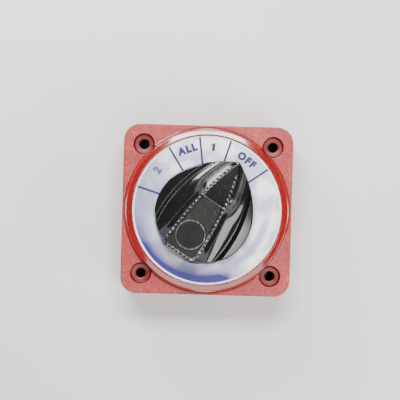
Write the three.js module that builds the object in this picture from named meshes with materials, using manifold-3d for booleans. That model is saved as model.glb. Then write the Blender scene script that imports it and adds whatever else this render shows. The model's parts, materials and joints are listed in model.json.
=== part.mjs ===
// Four-position marine battery switch: a deep square housing with a round dial,
// a pointer knob, the contact mechanism behind it, and a terminal base with three
// studs. Millimetres, +Z out of the dial face, +Y to the top of the dial. The
// origin is on the knob's axis, in the plane of the surface that it is screwed to.

import * as THREE from "three";
import { mergeVertices } from "three/addons/utils/BufferGeometryUtils.js";
import Module from "manifold-3d";

const wasm = await Module();
wasm.setup();

// ---------------------------------------------------------------- dimensions

const GAP = 0.1; // between pieces that bear on each other
const CLEARANCE = 0.3; // between pieces that turn or slide past each other
const OVER = 1; // how far a cutting tool runs past the face it cuts
const FINE = 48; // sides of a large round
const ROUND = 32; // sides of a middling round
const SMALL = 16; // sides of a small round

// Heights of the main planes above the mounting surface.
const TOTAL_HEIGHT = 66.675;
const BASE_BACK = 20;
const BASE_FRONT = 27;
const BASE_TOP = 33.6;
const PLATE_BACK = 35;
const PLATE_FRONT = 42;
const DIAL_BACK = 42.6;
const DIAL_FRONT = 46.8;
const KNOB_BASE = 48.1;

// Square housing: a face plate on a skirt, with a column round each screw hole.
const HOUSING_SIDE = 133.35;
const HOUSING_CORNER = 12.5;
const HOUSING_EDGE = 0.9;
const WALL = 4;
const COLUMN_RADIUS = 7.6;
const COLUMN_RIB = 6; // how far a column's rib runs on towards the corner
const CABLE_ENTRY_WIDTH = 24;
const CABLE_ENTRY_HEIGHT = 17;
const CABLE_ENTRY_SHOULDER = 6;
const CABLE_ENTRY_ANGLES = [0, 180, 270];
const HOLE_SPACING = 101.6;
const HOLE_RADIUS = 3.75;
const DISH_RADIUS = 8.2;
const DISH_FLOOR_RADIUS = 7.2;
const DISH_DEPTH = 3.6;
const HOLE_CHAMFER = 0.9;

// Raised bezel ring around the dial.
const BEZEL_FOOT_RADIUS = 65;
const BEZEL_EDGE_RADIUS = 63;
const BEZEL_EDGE_HEIGHT = 48;
const BEZEL_CREST_RADIUS = 59.4;
const BEZEL_CREST_HEIGHT = 48.9;
const BEZEL_INNER_FALL = 0.4;
const DIAL_RADIUS = 58.7;
const SEAL_SEAT_RADIUS = 15;
const SEAL_SEAT_FLOOR = 44;
const SEAL_WIRE = 1.05;
const SEAL_DEPTH = 1.5;

// Dial label.
const LABEL_THICKNESS = 0.5;
const LABEL_CLEARANCE = 0.3;
const LABEL_HOLE_RADIUS = 20;

// Terminal base: a disc with a wall up to the face plate and barriers below it.
const BASE_RADIUS = 54;
const BASE_BORE = 50.2;
const BARRIER_ANGLES = [90, 205, 335];
const BARRIER_INNER_RADIUS = 26;
const BARRIER_THICKNESS = 3;
const BARRIER_BOTTOM = 8;

// Base screws, in pillars of the front housing.
const SCREW_ANGLES = [20, 160, 225, 315];
const SCREW_CIRCLE = 44;
const SCREW_RADIUS = 2;
const SCREW_HOLE_RADIUS = 2.25;
const SCREW_HEAD_RADIUS = 3.9;
const SCREW_HEAD_HEIGHT = 2.6;
const SCREW_HEAD_EDGE = 1.2;
const SCREW_POINT = 2;
const SCREW_TIP = 36;
const PILLAR_RADIUS = 3.8;
const PILLAR_HOLE_TOP = 38;

// Knob, in its own axes: u across, v towards the pointer's tip.
const POINTER_ANGLE = 32.8; // clockwise from the top of the dial, at OFF
const KNOB_HEIGHT = TOTAL_HEIGHT - KNOB_BASE;
const SKIRT_RADIUS = 38.5;
const SKIRT_OFFSET = -4.5;
const NOSE_RADIUS = 73;
const NOSE_CENTRE_U = -30;
const NOSE_CENTRE_V = -21.5;
const NOSE_START = 14.5;
const TIP_REACH = 45;
const TIP_HEIGHT = 13;
const GRIP_WIDTH = 14.7; // half width of the grip's top at its wide end
const GRIP_END = -39.5;
const GRIP_CORNER = 50.5; // where the grip's rear corners are cut off at 45 degrees
const FLANK_WIDTH = 4.2;
const FLANK_DROP = 8; // depth of the steep flank beside the grip
const NOSE_DROP = 3; // what that depth comes down to near the tip
const NOSE_BLEND = 20; // how far ahead of the middle it has done so
const SCOOP_POWER = 1.6;
const TROUGH_HEIGHT = 4;
const TROUGH_WALL = 3.4;
const RIM_HEIGHT = 6.3;
const RIM_REACH = 31.7;
const RIM_MIDDLE = -14;
const RIM_BEND = 200;
const RIM_FALL = 0.12;
const END_SLOPE = 4;
const CORNER_SLOPE = 3;
const POCKET_DEPTH = 1.6;
const POCKET_INSET = 1.8;
const POCKET_FRONT = 8;
const POCKET_BACK = -37.5;
const POCKET_CORNER = 2.5;
const CORNER_SLOT_PLACE = [-12.5, -36.9];
const CORNER_SLOT_SIZE = [1.2, 3.2, 1.2];
const SKIRT_WALL = 3;
const SKIRT_HOLLOW = 2;
const COVER_SUNK = 0.4; // how far the cover's face lies below the grip's top
const STEM_RADIUS = 12.3;
const STEM_BOTTOM = 41;
const SOCKET_SIDE = 14.6;
const SOCKET_TOP = 52;

// Lock blank plug in the knob's wide end, and the screw under the knob's cover.
const PLUG_V = -22.7;
const PLUG_RADIUS = 11.6;
const PLUG_CLEARANCE = 0.25;
const PLUG_BARREL_RADIUS = 10.2;
const PLUG_LENGTH = 10;
const PLUG_SUNK = 0.5;
const KNOB_SCREW_HEAD_RADIUS = 4.6;
const KNOB_SCREW_SEAT = 56;
const KNOB_SCREW_TIP = 44.5;
const KNOB_SCREW_RADIUS = 2.4;
const KNOB_SCREW_HEAD_HEIGHT = 3;
const KNOB_SCREW_SLOT = 1.2;

// Rotor, and the detents that hold it at the four positions.
const TRAVEL = 86;
const DETENT_ANGLES = [0, 28, 52, TRAVEL];
const ROTOR_RADIUS = 33;
const ROTOR_BACK = 34;
const ROTOR_FRONT = 40;
const DRIVE_SIDE = 14;
const DRIVE_TOP = 51.5;
const PIVOT_RADIUS = 4;
const COLLAR_RADIUS = 7.5;
const DETENT_HEIGHT = 37;
const BALL_RADIUS = 2.4;
const BALL_REACH = 32.65;
const BALL_ANGLES = [130, 310];
const BALL_POCKET_START = 22;
const BALL_SPRING_RADIUS = 1.75;
const BALL_SPRING_WIRE = 0.25;
const BALL_SPRING_TURNS = 5;
const TRACK_RADIUS = 35.2;
const TRACK_OUTER_RADIUS = 39;
const TRACK_BOTTOM = 34.5;
const NOTCH_RADIUS = 2.6;
const NOTCH_REACH = 33.5;
const STOP_RADIUS = 24.5;
const STOP_SIZE = 6;
const STOP_ANGLE = 220;
const STOP_SLACK = 0.6;
const STOP_CLEARANCE = 0.4; // above and below the meeting stop blocks and lug

// Contacts.
const CONTACT_THICKNESS = 2.5;
const CONTACT_INNER = 21;
const CONTACT_OUTER = 31;
const CONTACT_1_ARC = [58, 88];
const CONTACT_2_ARC = [92, 138];
const COMMON_INNER = 8.5;
const COMMON_OUTER = 16;
const BAR_ANGLE = 40; // at OFF
const BAR_WIDTH = 12;
const BAR_BACK = 30.4;
const BAR_FRONT = 32.6;
const FOOT_BACK = 29.6;
const SPRING_REACH = 20;
const SPRING_RADIUS = 4.2;
const SPRING_WIRE = 0.45;
const SPRING_TURNS = 4;
const SPRING_WELL_TOP = 39;
const SPRING_STUB_RADIUS = 2.6;
const SPRING_STUB_HEIGHT = 2;
const FOOT_INSET = 1;
const LAP = 0.5; // how far joined bodies run into each other
const NECK_WIDTH = 9;
const NECK_LAP = 3;

// Terminal studs: 3/8 inch, with a retaining nut, washers and a terminal nut each.
const STUD_CIRCLE = 40;
const STUDS = { "1": 62, "2": 118, "common": 270 };
const STUD_RADIUS = 4.7;
const STUD_HOLE_RADIUS = 5.05;
const STUD_HEAD_RADIUS = 7;
const STUD_HEAD_HEIGHT = 3.8;
const STUD_END = 1;
const PAD_RADIUS = 8;
const STUD_CHAMFER = 0.9;
const NUT_FLATS = 14.3;
const RETAINING_NUT = 5; // thicknesses along the stud, from the base to its end
const LUG_SPACE = 3;
const FLAT_WASHER = 1.6;
const LOCK_WASHER = 2.2;
const TERMINAL_NUT = 6.4;
const FLAT_WASHER_RADIUS = 9.5;
const LOCK_WASHER_RADIUS = 8.2;
const LOCK_WASHER_GAP = 12; // half of its gap, in degrees

// ------------------------------------------------------------------- helpers

const radians = THREE.MathUtils.degToRad;

// A closed solid from a geometry: shared vertices merged, collapsed triangles dropped.
function solidOf(geometry) {
  const bare = new THREE.BufferGeometry();
  bare.setAttribute("position", geometry.getAttribute("position"));
  bare.setIndex(geometry.getIndex());
  const merged = mergeVertices(bare);
  const index = merged.getIndex().array;
  const kept = [];
  for (let i = 0; i < index.length; i += 3) {
    const [a, b, c] = [index[i], index[i + 1], index[i + 2]];
    if (a !== b && b !== c && c !== a) {
      kept.push(a, b, c);
    }
  }
  const vertProperties = new Float32Array(merged.getAttribute("position").array);
  const triVerts = new Uint32Array(kept);
  return new wasm.Manifold(new wasm.Mesh({ numProp: 3, vertProperties, triVerts }));
}

function geometryOf(solid) {
  const mesh = solid.getMesh();
  const geometry = new THREE.BufferGeometry();
  geometry.setAttribute("position", new THREE.BufferAttribute(mesh.vertProperties, 3));
  geometry.setIndex(new THREE.BufferAttribute(mesh.triVerts, 1));
  geometry.computeVertexNormals();
  return geometry;
}

function join(geometries) {
  return geometries.map(solidOf).reduce((sum, solid) => sum.add(solid));
}

// All of the bodies joined, less all of the tools.
function build(bodies, tools = []) {
  const body = join(bodies);
  return geometryOf(tools.length ? body.subtract(join(tools)) : body);
}

// A turned piece about +Z from a list of [radius, height] points.
function turned(points, sides = ROUND) {
  const profile = points.map(([radius, height]) => new THREE.Vector2(radius, height));
  return new THREE.LatheGeometry(profile, sides).rotateX(Math.PI / 2);
}

// A ring or disc with square edges, closed on itself or on the axis.
function ring(inner, outer, bottom, top, sides = ROUND) {
  const points = [[inner, bottom], [outer, bottom], [outer, top], [inner, top]];
  if (inner > 0) {
    points.push([inner, bottom]);
  }
  return turned(points, sides);
}

const disc = (radius, bottom, top, sides = ROUND) => ring(0, radius, bottom, top, sides);

// A block along a radius at an angle in degrees from +X: inner and outer reach, width.
function radialBlock(angle, inner, outer, width, bottom, top, sideways = 0) {
  const block = new THREE.BoxGeometry(outer - inner, width, top - bottom);
  block.translate((inner + outer) / 2, sideways, (bottom + top) / 2);
  return block.rotateZ(radians(angle));
}

function placed(geometry, radius, angle) {
  const turn = radians(angle);
  return geometry.translate(radius * Math.cos(turn), radius * Math.sin(turn), 0);
}

function raised(shape, bottom, top, segments = SMALL) {
  const options = { depth: top - bottom, bevelEnabled: false, curveSegments: segments };
  return new THREE.ExtrudeGeometry(shape, options).translate(0, 0, bottom);
}

function roundedSquare(side, corner) {
  const half = side / 2;
  const shape = new THREE.Shape();
  for (const turn of [0, 1, 2, 3]) {
    const start = turn * Math.PI / 2;
    const middle = start + Math.PI / 4;
    const reach = (half - corner) * Math.SQRT2;
    const centre = [reach * Math.cos(middle), reach * Math.sin(middle)];
    shape.absarc(centre[0], centre[1], corner, start, start + Math.PI / 2);
  }
  return shape;
}

function arcPlate(inner, outer, from, to, bottom, top) {
  const shape = new THREE.Shape();
  shape.absarc(0, 0, outer, radians(from), radians(to));
  shape.absarc(0, 0, inner, radians(to), radians(from), true);
  return raised(shape, bottom, top, 8);
}

// A round wire with six sides wound about +Z, from one height to the other.
function coil(radius, wire, turns, bottom, top, stepsPerTurn) {
  class Helix extends THREE.Curve {
    getPoint(t, target = new THREE.Vector3()) {
      const angle = t * turns * 2 * Math.PI;
      const height = bottom + t * (top - bottom);
      return target.set(radius * Math.cos(angle), radius * Math.sin(angle), height);
    }
  }
  const section = new THREE.Shape();
  section.absarc(0, 0, wire, 0, 2 * Math.PI);
  return new THREE.ExtrudeGeometry(section, {
    extrudePath: new Helix(),
    steps: turns * stepsPerTurn,
    curveSegments: 3,
  });
}

// ------------------------------------------------------------- front housing

function cornerPlaces() {
  const half = HOLE_SPACING / 2;
  return [[half, half], [-half, half], [-half, -half], [half, -half]];
}

// The tool for one screw hole: a long bore, small chamfer and sunken dish.
function screwHoleTool() {
  const floor = PLATE_FRONT - DISH_DEPTH;
  return turned([
    [0, -OVER],
    [HOLE_RADIUS, -OVER],
    [HOLE_RADIUS, floor - HOLE_CHAMFER],
    [HOLE_RADIUS + HOLE_CHAMFER, floor],
    [DISH_FLOOR_RADIUS, floor],
    [DISH_RADIUS, PLATE_FRONT],
    [DISH_RADIUS, BEZEL_CREST_HEIGHT],
    [0, BEZEL_CREST_HEIGHT],
  ], SMALL);
}

function housingBlock() {
  const outline = roundedSquare(HOUSING_SIDE - 2 * HOUSING_EDGE, HOUSING_CORNER - HOUSING_EDGE);
  return new THREE.ExtrudeGeometry(outline, {
    depth: PLATE_FRONT - 2 * HOUSING_EDGE,
    bevelThickness: HOUSING_EDGE,
    bevelSize: HOUSING_EDGE,
    bevelSegments: 2,
    curveSegments: 4,
  }).translate(0, 0, HOUSING_EDGE);
}

// The block hollowed out to its walls and face plate.
function housingShell() {
  const cavity = roundedSquare(HOUSING_SIDE - 2 * WALL, HOUSING_CORNER - WALL);
  return solidOf(housingBlock())
    .subtract(solidOf(raised(cavity, -OVER, PLATE_BACK, 3)))
    .subtract(solidOf(disc(BASE_BORE, PLATE_BACK - OVER, DIAL_BACK, FINE)));
}

// A column round a screw hole, tied to the skirt's corner by a rib.
function screwColumn(x, y) {
  const angle = THREE.MathUtils.radToDeg(Math.atan2(y, x));
  const reach = Math.hypot(x, y);
  const column = disc(COLUMN_RADIUS, 0, PLATE_BACK + OVER, SMALL).translate(x, y, 0);
  const rib = radialBlock(angle, reach, reach + COLUMN_RADIUS + COLUMN_RIB, WALL,
    OVER, PLATE_BACK + OVER);
  return [column, rib];
}

// An arched opening through the skirt, for a cable.
function cableEntryTool(angle) {
  const arch = new THREE.Shape();
  const half = CABLE_ENTRY_WIDTH / 2;
  const shoulder = CABLE_ENTRY_SHOULDER;
  const side = HOUSING_SIDE / 2;
  arch.moveTo(-half, -OVER);
  arch.lineTo(half, -OVER);
  arch.absarc(half - shoulder, CABLE_ENTRY_HEIGHT - shoulder, shoulder, 0, Math.PI / 2);
  arch.absarc(shoulder - half, CABLE_ENTRY_HEIGHT - shoulder, shoulder, Math.PI / 2, Math.PI);
  const opening = raised(arch, side - 2 * WALL, side + WALL, 4);
  return opening.rotateX(Math.PI / 2).rotateZ(radians(angle + 90));
}

// Dial floor and bezel ring, with the knob's bore and the seal's seat.
function bezelAndDial() {
  const bore = STEM_RADIUS + CLEARANCE;
  return turned([
    [bore, DIAL_BACK],
    [BEZEL_FOOT_RADIUS - OVER, DIAL_BACK],
    [BEZEL_FOOT_RADIUS - OVER, PLATE_FRONT - OVER],
    [BEZEL_FOOT_RADIUS, PLATE_FRONT - OVER],
    [BEZEL_FOOT_RADIUS, PLATE_FRONT],
    [BEZEL_EDGE_RADIUS, BEZEL_EDGE_HEIGHT],
    [BEZEL_CREST_RADIUS, BEZEL_CREST_HEIGHT],
    [DIAL_RADIUS, BEZEL_CREST_HEIGHT - BEZEL_INNER_FALL],
    [DIAL_RADIUS, DIAL_FRONT],
    [SEAL_SEAT_RADIUS, DIAL_FRONT],
    [SEAL_SEAT_RADIUS, SEAL_SEAT_FLOOR],
    [bore, SEAL_SEAT_FLOOR],
    [bore, DIAL_BACK],
  ], FINE);
}

function stopBlock(angle) {
  const inner = STOP_RADIUS - STOP_SIZE / 2;
  const outer = STOP_RADIUS + STOP_SIZE / 2;
  return radialBlock(angle, inner, outer, STOP_SIZE,
    ROTOR_FRONT + STOP_CLEARANCE, DIAL_BACK + OVER);
}

// A shallow scallop in the detent track for each ball at each position.
function detentNotches() {
  return BALL_ANGLES.flatMap((ball) => DETENT_ANGLES.map((detent) => {
    const notch = disc(NOTCH_RADIUS, TRACK_BOTTOM - OVER, DETENT_HEIGHT + NOTCH_RADIUS, 12);
    return placed(notch, NOTCH_REACH, ball + detent);
  }));
}

function frontHousing() {
  const stopInner = STOP_RADIUS - STOP_SIZE / 2;
  const stopHalf = 2 * THREE.MathUtils.radToDeg(Math.atan(STOP_SIZE / 2 / stopInner)) + STOP_SLACK;
  const bodies = [
    bezelAndDial(),
    ring(TRACK_RADIUS, TRACK_OUTER_RADIUS, TRACK_BOTTOM, DIAL_BACK + OVER, FINE),
    stopBlock(STOP_ANGLE - stopHalf),
    stopBlock(STOP_ANGLE + TRAVEL + stopHalf),
    ...cornerPlaces().flatMap(([x, y]) => screwColumn(x, y)),
  ];
  const tools = [
    ...cornerPlaces().map(([x, y]) => screwHoleTool().translate(x, y, 0)),
    ...CABLE_ENTRY_ANGLES.map(cableEntryTool),
    ...detentNotches(),
  ];
  for (const angle of SCREW_ANGLES) {
    const pillar = disc(PILLAR_RADIUS, BASE_FRONT + CLEARANCE, DIAL_BACK + OVER, SMALL);
    const hole = disc(SCREW_HOLE_RADIUS, BASE_FRONT - OVER, PILLAR_HOLE_TOP, 12);
    bodies.push(placed(pillar, SCREW_CIRCLE, angle));
    tools.push(placed(hole, SCREW_CIRCLE, angle));
  }
  return geometryOf(housingShell().add(join(bodies)).subtract(join(tools)));
}

function dialLabel() {
  const bottom = DIAL_FRONT + GAP;
  const outer = DIAL_RADIUS - LABEL_CLEARANCE;
  return ring(LABEL_HOLE_RADIUS, outer, bottom, bottom + LABEL_THICKNESS, FINE);
}

function shaftSeal() {
  const middle = STEM_RADIUS + CLEARANCE + SEAL_WIRE;
  const seal = new THREE.TorusGeometry(middle, SEAL_WIRE, 8, 36);
  return seal.translate(0, 0, DIAL_FRONT - SEAL_DEPTH);
}

// ---------------------------------------------------------------------- knob

// Half width of the knob's outline: a round skirt running into two nose arcs.
function outlineHalf(v) {
  if (v < NOSE_START) {
    return Math.sqrt(Math.max(SKIRT_RADIUS ** 2 - (v - SKIRT_OFFSET) ** 2, 0.1));
  }
  const reach = Math.sqrt(NOSE_RADIUS ** 2 - (v - NOSE_CENTRE_V) ** 2);
  return Math.max(NOSE_CENTRE_U + reach, 0.3);
}

// Half width of the grip's top face, full at the wide end and closing at the tip.
function gripHalf(v) {
  const along = (v + TIP_REACH) / (2 * TIP_REACH - 2);
  return GRIP_WIDTH * Math.max(1 - along ** 2, 0) ** 0.75;
}

const rimInner = (v) => RIM_REACH - (v - RIM_MIDDLE) ** 2 / RIM_BEND;

// The grip's top is level behind the cover's front edge and falls to the tip ahead of it.
function gripTop(v) {
  const ahead = Math.max(v - POCKET_FRONT, 0) / (TIP_REACH - POCKET_FRONT);
  return KNOB_HEIGHT - ahead * (KNOB_HEIGHT - TIP_HEIGHT);
}

// Depth of the steep flank beside the grip, which gets less towards the tip.
function flankDrop(v) {
  return FLANK_DROP + (NOSE_DROP - FLANK_DROP) * THREE.MathUtils.smoothstep(v, 0, NOSE_BLEND);
}

// Height of the flank, the hollow trough beside it and the rim outside that.
function sideHeight(u, v) {
  const crease = gripHalf(v) + FLANK_WIDTH;
  const rim = rimInner(v);
  const trough = rim - TROUGH_WALL;
  const drop = flankDrop(v);
  const creaseHeight = gripTop(v) - drop;
  if (u < crease) {
    return creaseHeight + drop * (crease - u) / FLANK_WIDTH;
  }
  if (u < trough) {
    const share = (trough - u) / (trough - crease);
    return TROUGH_HEIGHT + (creaseHeight - TROUGH_HEIGHT) * share ** SCOOP_POWER;
  }
  const climb = THREE.MathUtils.smoothstep(u, trough, rim);
  return TROUGH_HEIGHT + (RIM_HEIGHT - TROUGH_HEIGHT) * climb - RIM_FALL * Math.max(u - rim, 0);
}

function knobHeight(u, v) {
  const end = KNOB_HEIGHT - END_SLOPE * (GRIP_END - v);
  const corner = KNOB_HEIGHT - CORNER_SLOPE * (Math.abs(u) - v - GRIP_CORNER) / Math.SQRT2;
  return Math.min(gripTop(v), sideHeight(Math.abs(u), v), end, corner);
}

// Columns of the knob's surface follow its edges: grip, crease, trough, rim and outline.
function columnReach(column, v) {
  const grip = gripHalf(v);
  const crease = grip + FLANK_WIDTH;
  const trough = rimInner(v) - TROUGH_WALL;
  const step = (trough - crease) / 4;
  const wanted = [
    0, grip / 2, grip, crease, crease + step, crease + 2 * step, crease + 3 * step,
    trough, rimInner(v), (rimInner(v) + outlineHalf(v)) / 2,
  ];
  const limit = [0, 0.5, 0.78, 0.86, 0.89, 0.92, 0.94, 0.96, 0.975, 0.99];
  if (column === wanted.length) {
    return outlineHalf(v);
  }
  return Math.min(wanted[column], limit[column] * outlineHalf(v));
}

// Rows crowd together over the steep rear end and are even from there to the tip.
function rowPlace(row, rows, endRows) {
  const back = SKIRT_OFFSET - SKIRT_RADIUS;
  if (row <= endRows) {
    return back + (GRIP_END - back) * (row / endRows) ** 2;
  }
  return GRIP_END + (TIP_REACH - GRIP_END) * (row - endRows) / (rows - endRows);
}

// A box whose grid is drawn onto the knob's outline and lifted to its height.
function knobBody() {
  const halfColumns = 10;
  const rows = 26;
  const box = new THREE.BoxGeometry(2 * halfColumns, rows, 1, 2 * halfColumns, rows, 1);
  const places = box.getAttribute("position");
  for (let i = 0; i < places.count; i += 1) {
    const column = Math.round(places.getX(i));
    const v = rowPlace(Math.round(places.getY(i) + rows / 2), rows, 4);
    const u = Math.sign(column) * columnReach(Math.abs(column), v);
    const top = places.getZ(i) > 0;
    places.setXYZ(i, u, v, top ? knobHeight(u, v) : 0);
  }
  return box;
}

// Outline of the grip's top face, set in from its edges, between two stations.
function gripOutline(inset, back, front, corner) {
  const steps = 8;
  const right = [[gripHalf(back) - inset - corner, back]];
  for (let step = 0; step <= steps; step += 1) {
    const v = back + corner + (front - back - 2 * corner) * step / steps;
    right.push([gripHalf(v) - inset, v]);
  }
  right.push([gripHalf(front) - inset - corner, front]);
  const left = right.map(([u, v]) => [-u, v]).reverse();
  return new THREE.Shape([...right, ...left].map(([u, v]) => new THREE.Vector2(u, v)));
}

function knob() {
  const pocketFloor = KNOB_HEIGHT - POCKET_DEPTH;
  const above = KNOB_HEIGHT + OVER;
  const stemBottom = STEM_BOTTOM - KNOB_BASE;
  const socketTop = SOCKET_TOP - KNOB_BASE;
  const screwSeat = KNOB_SCREW_SEAT - KNOB_BASE;
  const socket = new THREE.BoxGeometry(SOCKET_SIDE, SOCKET_SIDE, socketTop - stemBottom + OVER);
  socket.translate(0, 0, (socketTop + stemBottom - OVER) / 2);
  const hollow = disc(SKIRT_RADIUS - SKIRT_WALL, -OVER, SKIRT_HOLLOW).translate(0, SKIRT_OFFSET, 0);
  const boss = disc(STEM_RADIUS + SKIRT_WALL, -2 * OVER, SKIRT_HOLLOW + OVER);
  const skirtHollow = solidOf(hollow).subtract(solidOf(boss));
  const plugHole = disc(PLUG_BARREL_RADIUS + PLUG_CLEARANCE, pocketFloor - PLUG_LENGTH, above);
  const [slotWidth, slotLength, slotDepth] = CORNER_SLOT_SIZE;
  const cornerSlot = new THREE.BoxGeometry(slotWidth, slotLength, 2 * slotDepth);
  cornerSlot.rotateZ(radians(POINTER_ANGLE)).translate(...CORNER_SLOT_PLACE, KNOB_HEIGHT);
  const tools = [
    cornerSlot,
    raised(gripOutline(POCKET_INSET, POCKET_BACK, POCKET_FRONT, POCKET_CORNER), pocketFloor, above),
    plugHole.translate(0, PLUG_V, 0),
    disc(KNOB_SCREW_HEAD_RADIUS + CLEARANCE, screwSeat, above, SMALL),
    disc(KNOB_SCREW_RADIUS + CLEARANCE, stemBottom, above, SMALL),
    socket,
  ];
  const body = join([knobBody(), disc(STEM_RADIUS, stemBottom, 1)]);
  return geometryOf(body.subtract(skirtHollow).subtract(join(tools)));
}

function knobCover() {
  const bottom = KNOB_HEIGHT - POCKET_DEPTH + GAP;
  const top = KNOB_HEIGHT - COVER_SUNK;
  const clearance = 0.2;
  const outline = gripOutline(
    POCKET_INSET + clearance, POCKET_BACK + clearance, POCKET_FRONT - clearance, POCKET_CORNER);
  const hole = disc(PLUG_RADIUS + PLUG_CLEARANCE, bottom - OVER, top + OVER, ROUND);
  return build([raised(outline, bottom, top)], [hole.translate(0, PLUG_V, 0)]);
}

// A flat-topped plug with a raised rim, filling the hole a key lock would take.
function lockBlankPlug() {
  const seat = KNOB_HEIGHT - POCKET_DEPTH + GAP;
  const face = KNOB_HEIGHT - PLUG_SUNK;
  const rimWidth = 1.2;
  const bottom = seat - PLUG_LENGTH + CLEARANCE + GAP;
  return turned([
    [0, bottom],
    [PLUG_BARREL_RADIUS, bottom],
    [PLUG_BARREL_RADIUS, seat],
    [PLUG_RADIUS, seat],
    [PLUG_RADIUS, face],
    [PLUG_RADIUS - rimWidth / 2, face + PLUG_SUNK - GAP],
    [PLUG_RADIUS - rimWidth, face],
    [0, face],
  ]).translate(0, PLUG_V, 0);
}

function knobScrew() {
  const seat = KNOB_SCREW_SEAT - KNOB_BASE + GAP;
  const tip = KNOB_SCREW_TIP - KNOB_BASE;
  const head = KNOB_SCREW_HEAD_HEIGHT;
  const body = turned([
    [0, tip],
    [KNOB_SCREW_RADIUS - 0.8, tip],
    [KNOB_SCREW_RADIUS, tip + 1],
    [KNOB_SCREW_RADIUS, seat],
    [KNOB_SCREW_HEAD_RADIUS, seat],
    [KNOB_SCREW_HEAD_RADIUS, seat + head / 2],
    [KNOB_SCREW_HEAD_RADIUS - 1.4, seat + head],
    [0, seat + head],
  ], SMALL);
  const slot = new THREE.BoxGeometry(3 * KNOB_SCREW_HEAD_RADIUS, KNOB_SCREW_SLOT, 2);
  return build([body], [slot.translate(0, 0, seat + head)]);
}

// ----------------------------------------------------------------- mechanism

function rotor() {
  const drive = new THREE.BoxGeometry(DRIVE_SIDE, DRIVE_SIDE, DRIVE_TOP - ROTOR_FRONT + OVER);
  const ribWidth = 2.5;
  const ribOffset = (BAR_WIDTH + ribWidth) / 2 + CLEARANCE;
  const springWell = SPRING_RADIUS + SPRING_WIRE + 2 * CLEARANCE;
  const stopHalf = STOP_SIZE / 2;
  const bodies = [
    disc(ROTOR_RADIUS, ROTOR_BACK, ROTOR_FRONT, FINE),
    drive.translate(0, 0, (DRIVE_TOP + ROTOR_FRONT - OVER) / 2).rotateZ(-radians(POINTER_ANGLE)),
    disc(COLLAR_RADIUS, BASE_FRONT + CLEARANCE, ROTOR_BACK + OVER, SMALL),
    disc(PIVOT_RADIUS, BASE_BACK + OVER, ROTOR_BACK + OVER, SMALL),
    radialBlock(STOP_ANGLE, STOP_RADIUS - stopHalf, STOP_RADIUS + stopHalf, STOP_SIZE,
      ROTOR_FRONT - OVER, DIAL_BACK - STOP_CLEARANCE),
  ];
  for (const side of [-1, 1]) {
    const rib = radialBlock(BAR_ANGLE, COMMON_INNER + 1, CONTACT_OUTER, ribWidth,
      BAR_BACK - CLEARANCE, ROTOR_BACK + OVER, side * ribOffset);
    bodies.push(rib);
  }
  const tools = [
    placed(disc(springWell, ROTOR_BACK - OVER, SPRING_WELL_TOP, SMALL), SPRING_REACH, BAR_ANGLE),
    disc(KNOB_SCREW_RADIUS + CLEARANCE, KNOB_SCREW_TIP - OVER, DRIVE_TOP + OVER, SMALL),
  ];
  for (const angle of BALL_ANGLES) {
    const length = ROTOR_RADIUS + OVER - BALL_POCKET_START;
    const radius = BALL_RADIUS + CLEARANCE;
    const pocket = new THREE.CylinderGeometry(radius, radius, length, 12);
    pocket.rotateZ(Math.PI / 2).translate(BALL_POCKET_START + length / 2, 0, DETENT_HEIGHT);
    tools.push(pocket.rotateZ(radians(angle)));
  }
  return build(bodies, tools);
}

function detentBall(angle) {
  const ball = new THREE.SphereGeometry(BALL_RADIUS, 12, 8).translate(0, 0, DETENT_HEIGHT);
  return placed(ball, BALL_REACH, angle);
}

function detentSpring(angle) {
  const wire = BALL_SPRING_WIRE;
  const start = BALL_POCKET_START + GAP + wire;
  const end = BALL_REACH - BALL_RADIUS - GAP - wire;
  const spring = coil(BALL_SPRING_RADIUS, wire, BALL_SPRING_TURNS, start, end, 8);
  return spring.rotateY(Math.PI / 2).translate(0, 0, DETENT_HEIGHT).rotateZ(radians(angle));
}

// The bar that bridges the common contact and contacts 1 and 2.
function movingContact() {
  const foot = (inner, outer, width) => radialBlock(
    BAR_ANGLE, inner + FOOT_INSET, outer - FOOT_INSET, width, FOOT_BACK, BAR_BACK + LAP);
  const stub = disc(SPRING_STUB_RADIUS, BAR_BACK + LAP, BAR_FRONT + SPRING_STUB_HEIGHT, SMALL);
  return build([
    radialBlock(BAR_ANGLE, COMMON_INNER + LAP, CONTACT_OUTER, BAR_WIDTH, BAR_BACK, BAR_FRONT),
    foot(COMMON_INNER, COMMON_OUTER, BAR_WIDTH - 4 * FOOT_INSET),
    foot(CONTACT_INNER, CONTACT_OUTER, BAR_WIDTH),
    placed(stub, SPRING_REACH, BAR_ANGLE),
  ]);
}

function contactSpring() {
  const bottom = BAR_FRONT + GAP + SPRING_WIRE;
  const top = SPRING_WELL_TOP - GAP - SPRING_WIRE;
  const spring = coil(SPRING_RADIUS, SPRING_WIRE, SPRING_TURNS, bottom, top, 10);
  return placed(spring, SPRING_REACH, BAR_ANGLE);
}

function stackHeights() {
  const bottom = BASE_FRONT + GAP;
  return { bottom, top: bottom + CONTACT_THICKNESS - GAP };
}

function studPad(angle, inner, neckWidth) {
  const { bottom, top } = stackHeights();
  return [
    placed(disc(PAD_RADIUS, bottom, top, SMALL), STUD_CIRCLE, angle),
    radialBlock(angle, inner, STUD_CIRCLE, neckWidth, bottom, top),
  ];
}

function studHole(angle) {
  const hole = disc(STUD_HOLE_RADIUS, BASE_BACK - OVER, BASE_TOP, SMALL);
  return placed(hole, STUD_CIRCLE, angle);
}

function outerContact(arc, angle) {
  const { bottom, top } = stackHeights();
  const track = arcPlate(CONTACT_INNER, CONTACT_OUTER, arc[0], arc[1], bottom, top);
  return build([track, ...studPad(angle, CONTACT_OUTER - NECK_LAP, NECK_WIDTH)], [studHole(angle)]);
}

function commonContact() {
  const { bottom, top } = stackHeights();
  const track = ring(COMMON_INNER, COMMON_OUTER, bottom, top);
  const pad = studPad(STUDS.common, COMMON_OUTER - NECK_LAP, BAR_WIDTH);
  return build([track, ...pad], [studHole(STUDS.common)]);
}

// ------------------------------------------------------------- terminal base

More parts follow.
